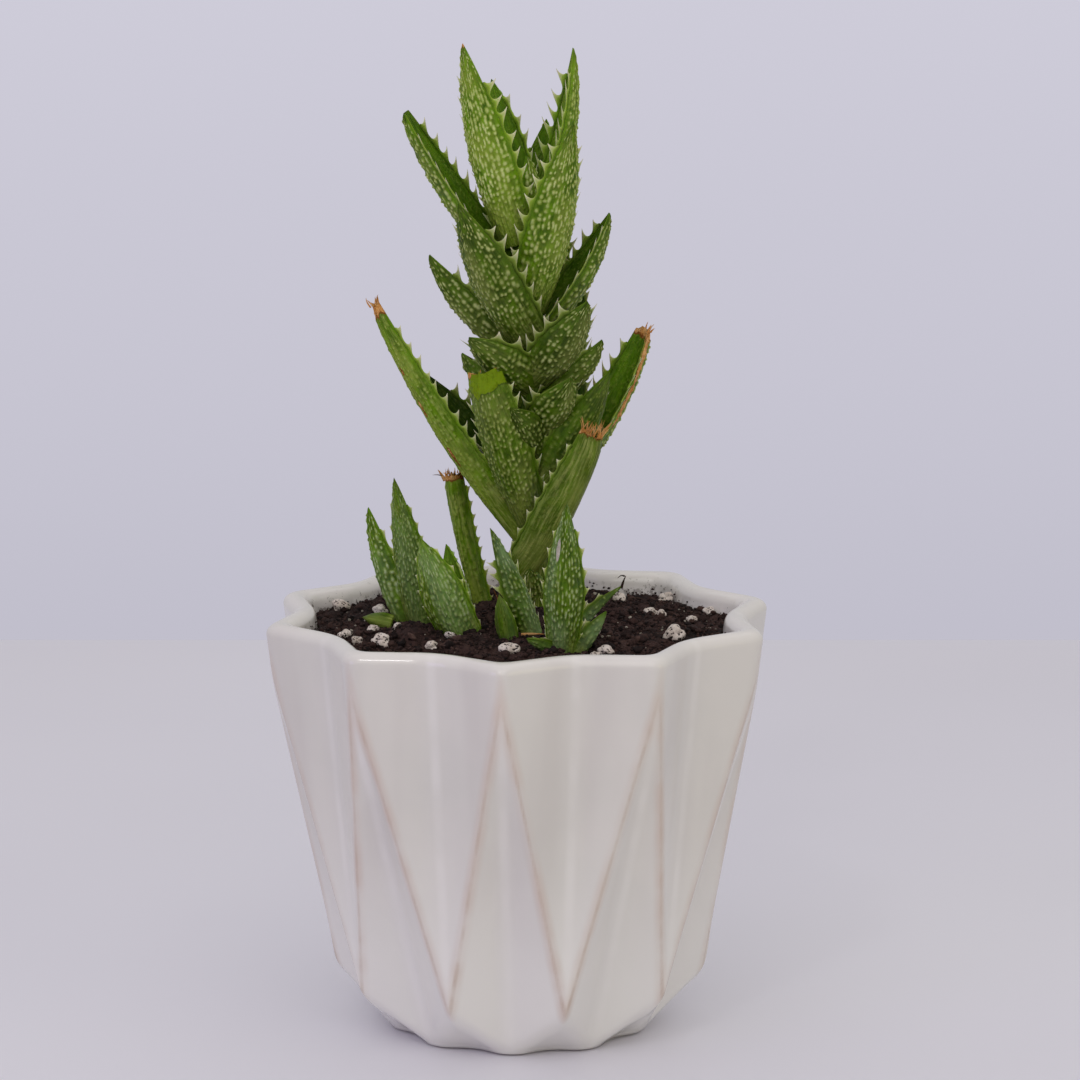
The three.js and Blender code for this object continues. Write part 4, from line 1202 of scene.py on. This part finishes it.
# Lamps: name, place, size, power and colour. All face the plant.
LAMPS = [
    ("top", (0.0, 0.0, 1.5), 1.8, 2.5, 0xFFFDFF),
    ("front", (0.0, -1.25, 1.1), 1.3, 4.2, 0xFFFDF2),
    ("left", (-1.1, -0.8, 0.4), 0.7, 1.5, 0xC6AAFF),
    ("right", (1.1, -0.8, 0.4), 0.7, 0.8, 0xFFEEA0),
    ("spark", (-0.3, -1.0, 1.0), 0.1, 0.6, 0xFFFFFF),
]


def stand(name, data, at):
    """Puts a camera or a lamp in the scene, facing the plant."""
    made = bpy.data.objects.new(name, data)
    made.location = at
    made.rotation_mode = "QUATERNION"
    made.rotation_quaternion = (LOOKS_AT - Vector(at)).to_track_quat("-Z", "Y")
    bpy.context.scene.collection.objects.link(made)
    return made


def make_camera():
    data = bpy.data.cameras.new("camera")
    data.lens, data.sensor_width = LENS, 36.0
    data.clip_start, data.clip_end = 0.05, 20.0
    bpy.context.scene.camera = stand("camera", data, CAMERA_AT)


def make_light(name, at, size, power, color):
    data = bpy.data.lights.new(name, "AREA")
    data.shape, data.size, data.energy = "SQUARE", size, power
    data.color = srgb(color)[:3]
    stand(name, data, at)


def scenery(name, points, faces, material):
    """A mesh that is no part of the object, in metres."""
    mesh = bpy.data.meshes.new(name)
    mesh.from_pydata(points, [], faces)
    mesh.materials.append(material)
    made = bpy.data.objects.new(name, mesh)
    bpy.context.scene.collection.objects.link(made)
    return made


def make_floor():
    n = Nodes("floor")
    color = n.mix(n.ramp(n.noise(3.0, 2.0), 0.3, 0.7), 0xEBE9F1, 0xE7E5ED)
    half, back = TABLE_HALF, TABLE_BACK_Y
    corners = [(-half, -half, 0), (half, -half, 0), (half, back, 0), (-half, back, 0)]
    floor = scenery("floor", corners, [(0, 1, 2, 3)], n.finish(color, 0.5))


def make_backdrop():
    """A pale dome that the camera sees and that lights nothing: the lamps and the world light the scene. Its
    glow is painted light, darker towards the table's edge as painted shade.
    """
    dome = Nodes("backdrop")
    height = dome.height()
    low, middle, high = BACKDROP_COLORS
    color = dome.mix(dome.ramp(height, -0.85, -0.4), low, middle)
    color = dome.mix(dome.ramp(height, -0.5, 0.0), color, high)
    emission = dome.node("ShaderNodeEmission", {"Color": color})
    dome.put(dome.tree.nodes["Material Output"], {"Surface": emission.outputs[0]})
    shape, faces = icosphere(5)
    backdrop = scenery("backdrop", (shape * BACKDROP_R).tolist(), faces.tolist(), dome.material)
    backdrop.data.shade_smooth()
    backdrop.visible_diffuse = backdrop.visible_glossy = backdrop.visible_shadow = False
    backdrop.visible_transmission = backdrop.visible_volume_scatter = False


def make_world():
    world = bpy.data.worlds.new("studio")
    bpy.context.scene.world = world
    world.use_nodes = True
    background = world.node_tree.nodes["Background"]
    background.inputs["Color"].default_value = srgb(0xFDFBFF)
    background.inputs["Strength"].default_value = WORLD_LIGHT


# ---- Build ----

# Torn ends of the tall stem's leaves, by leaf number: how many fibres, their length and half width.
FRAYS = {15: (6, 3.6, 0.3), 17: (3, 1.0, 0.2), 19: (6, 2.0, 0.35), 20: (40, 4.4, 0.3)}
COOL_PLANTS = 0.8  # how bluish the young plants are
TALL_SEED, BACK_SEED, YOUNG_SEED, FRAY_SEED = 10, 61, 81, 300


def tall_leaves(material):
    """The tall stem's leaves, each a piece of its own, and the ones behind it as one piece."""
    for number, row in enumerate(TALL_LEAVES, 1):
        one = Parts(*LEAF_VALUES)
        grown = add_leaf(one, row, TALL_SEED + number)
        if number in FRAYS:
            add_frays(one, grown, *FRAYS[number], FRAY_SEED + number, dry=1, along_mm=number)
        one.piece("main_leaf_%02d" % number, material, "leaf", "main_shoot")

    behind = Parts(*LEAF_VALUES)
    for number, row in enumerate(back_leaves()):
        add_leaf(behind, row, BACK_SEED + number)
    behind.piece("main_leaves_back", material, "leaf", "main_shoot")


def add_scraps(parts, plant, grown):
    """The frayed, withered and dried scraps of a young plant whose leaves have grown."""
    if plant == "leaf_stub":
        # The cut's torn skin stands up at its left, with a withered dark end.
        add_frays(parts, grown[0], 10, 1.7, 0.35, 400, dry=1)
        cut = grown[0].tip
        add_thread(parts, cut + [-1.5, -0.3, -2.8], (-0.45, -0.1, 0.85), 3.2, 0.6, 0.2, 401, dry=1)
        add_thread(parts, cut + [-2.0, -0.4, -1.7], (-1, -0.1, 0.45), 2.6, 0.3, 0.6, 403, dry=1, char=0.6)
    if plant == "pup_front":
        # Dark threads curl from its narrow leaf's withered tip.
        curl = grown[2].tip
        add_thread(parts, curl - [0.5, 0.4, 0.8], (0.2, 0.1, 1), 3.2, 0.5, 0.4, 402, char=1)
        add_thread(parts, curl + [0.2, -0.1, 2.0], (-0.6, -0.2, 0.9), 2.4, 0.36, -3.6, 404, char=1)
    if plant == "pup_middle":
        # A withered sheath behind the small leaves, and a dry scrap on the soil beside them.
        add_thread(parts, (-2.0, -7.5, 94), (-0.2, 0, 1), 12.5, 1.1, 0.3, 405, dry=0.5, char=0.45)
        add_thread(parts, (-3.4, -8.0, 94), (-0.1, 0, 1), 9.5, 0.8, -0.3, 406, dry=0.5, char=0.6)
        add_thread(parts, (0.5, -14.2, 96.6), (1, 0.1, 0.08), 5.5, 0.45, 0.5, 407, dry=1)


def young_plants(material):
    for plant, rows in YOUNG_PLANTS.items():
        young = Parts(*LEAF_VALUES)
        cool = COOL_PLANTS if plant.startswith("pup") else 0.0
        seed = YOUNG_SEED + len(plant)
        grown = [add_leaf(young, row, seed + 7 * i, cool=cool) for i, row in enumerate(rows)]
        add_scraps(young, plant, grown)
        slot = "dry_leaf" if plant == "leaf_stub" else "leaf"
        young.piece(plant + "_fine", material, slot, plant)


make_camera()
make_floor()
make_world()
make_backdrop()
for lamp in LAMPS:
    make_light(*lamp)
bpy.context.scene.view_settings.view_transform = "Standard"

leaf_green = leaf_material()
pot_piece(glaze_material())
soil_piece(soil_material())
perlite_piece(perlite_material())
stem_piece(leaf_green)
tall_leaves(leaf_green)
young_plants(leaf_green)
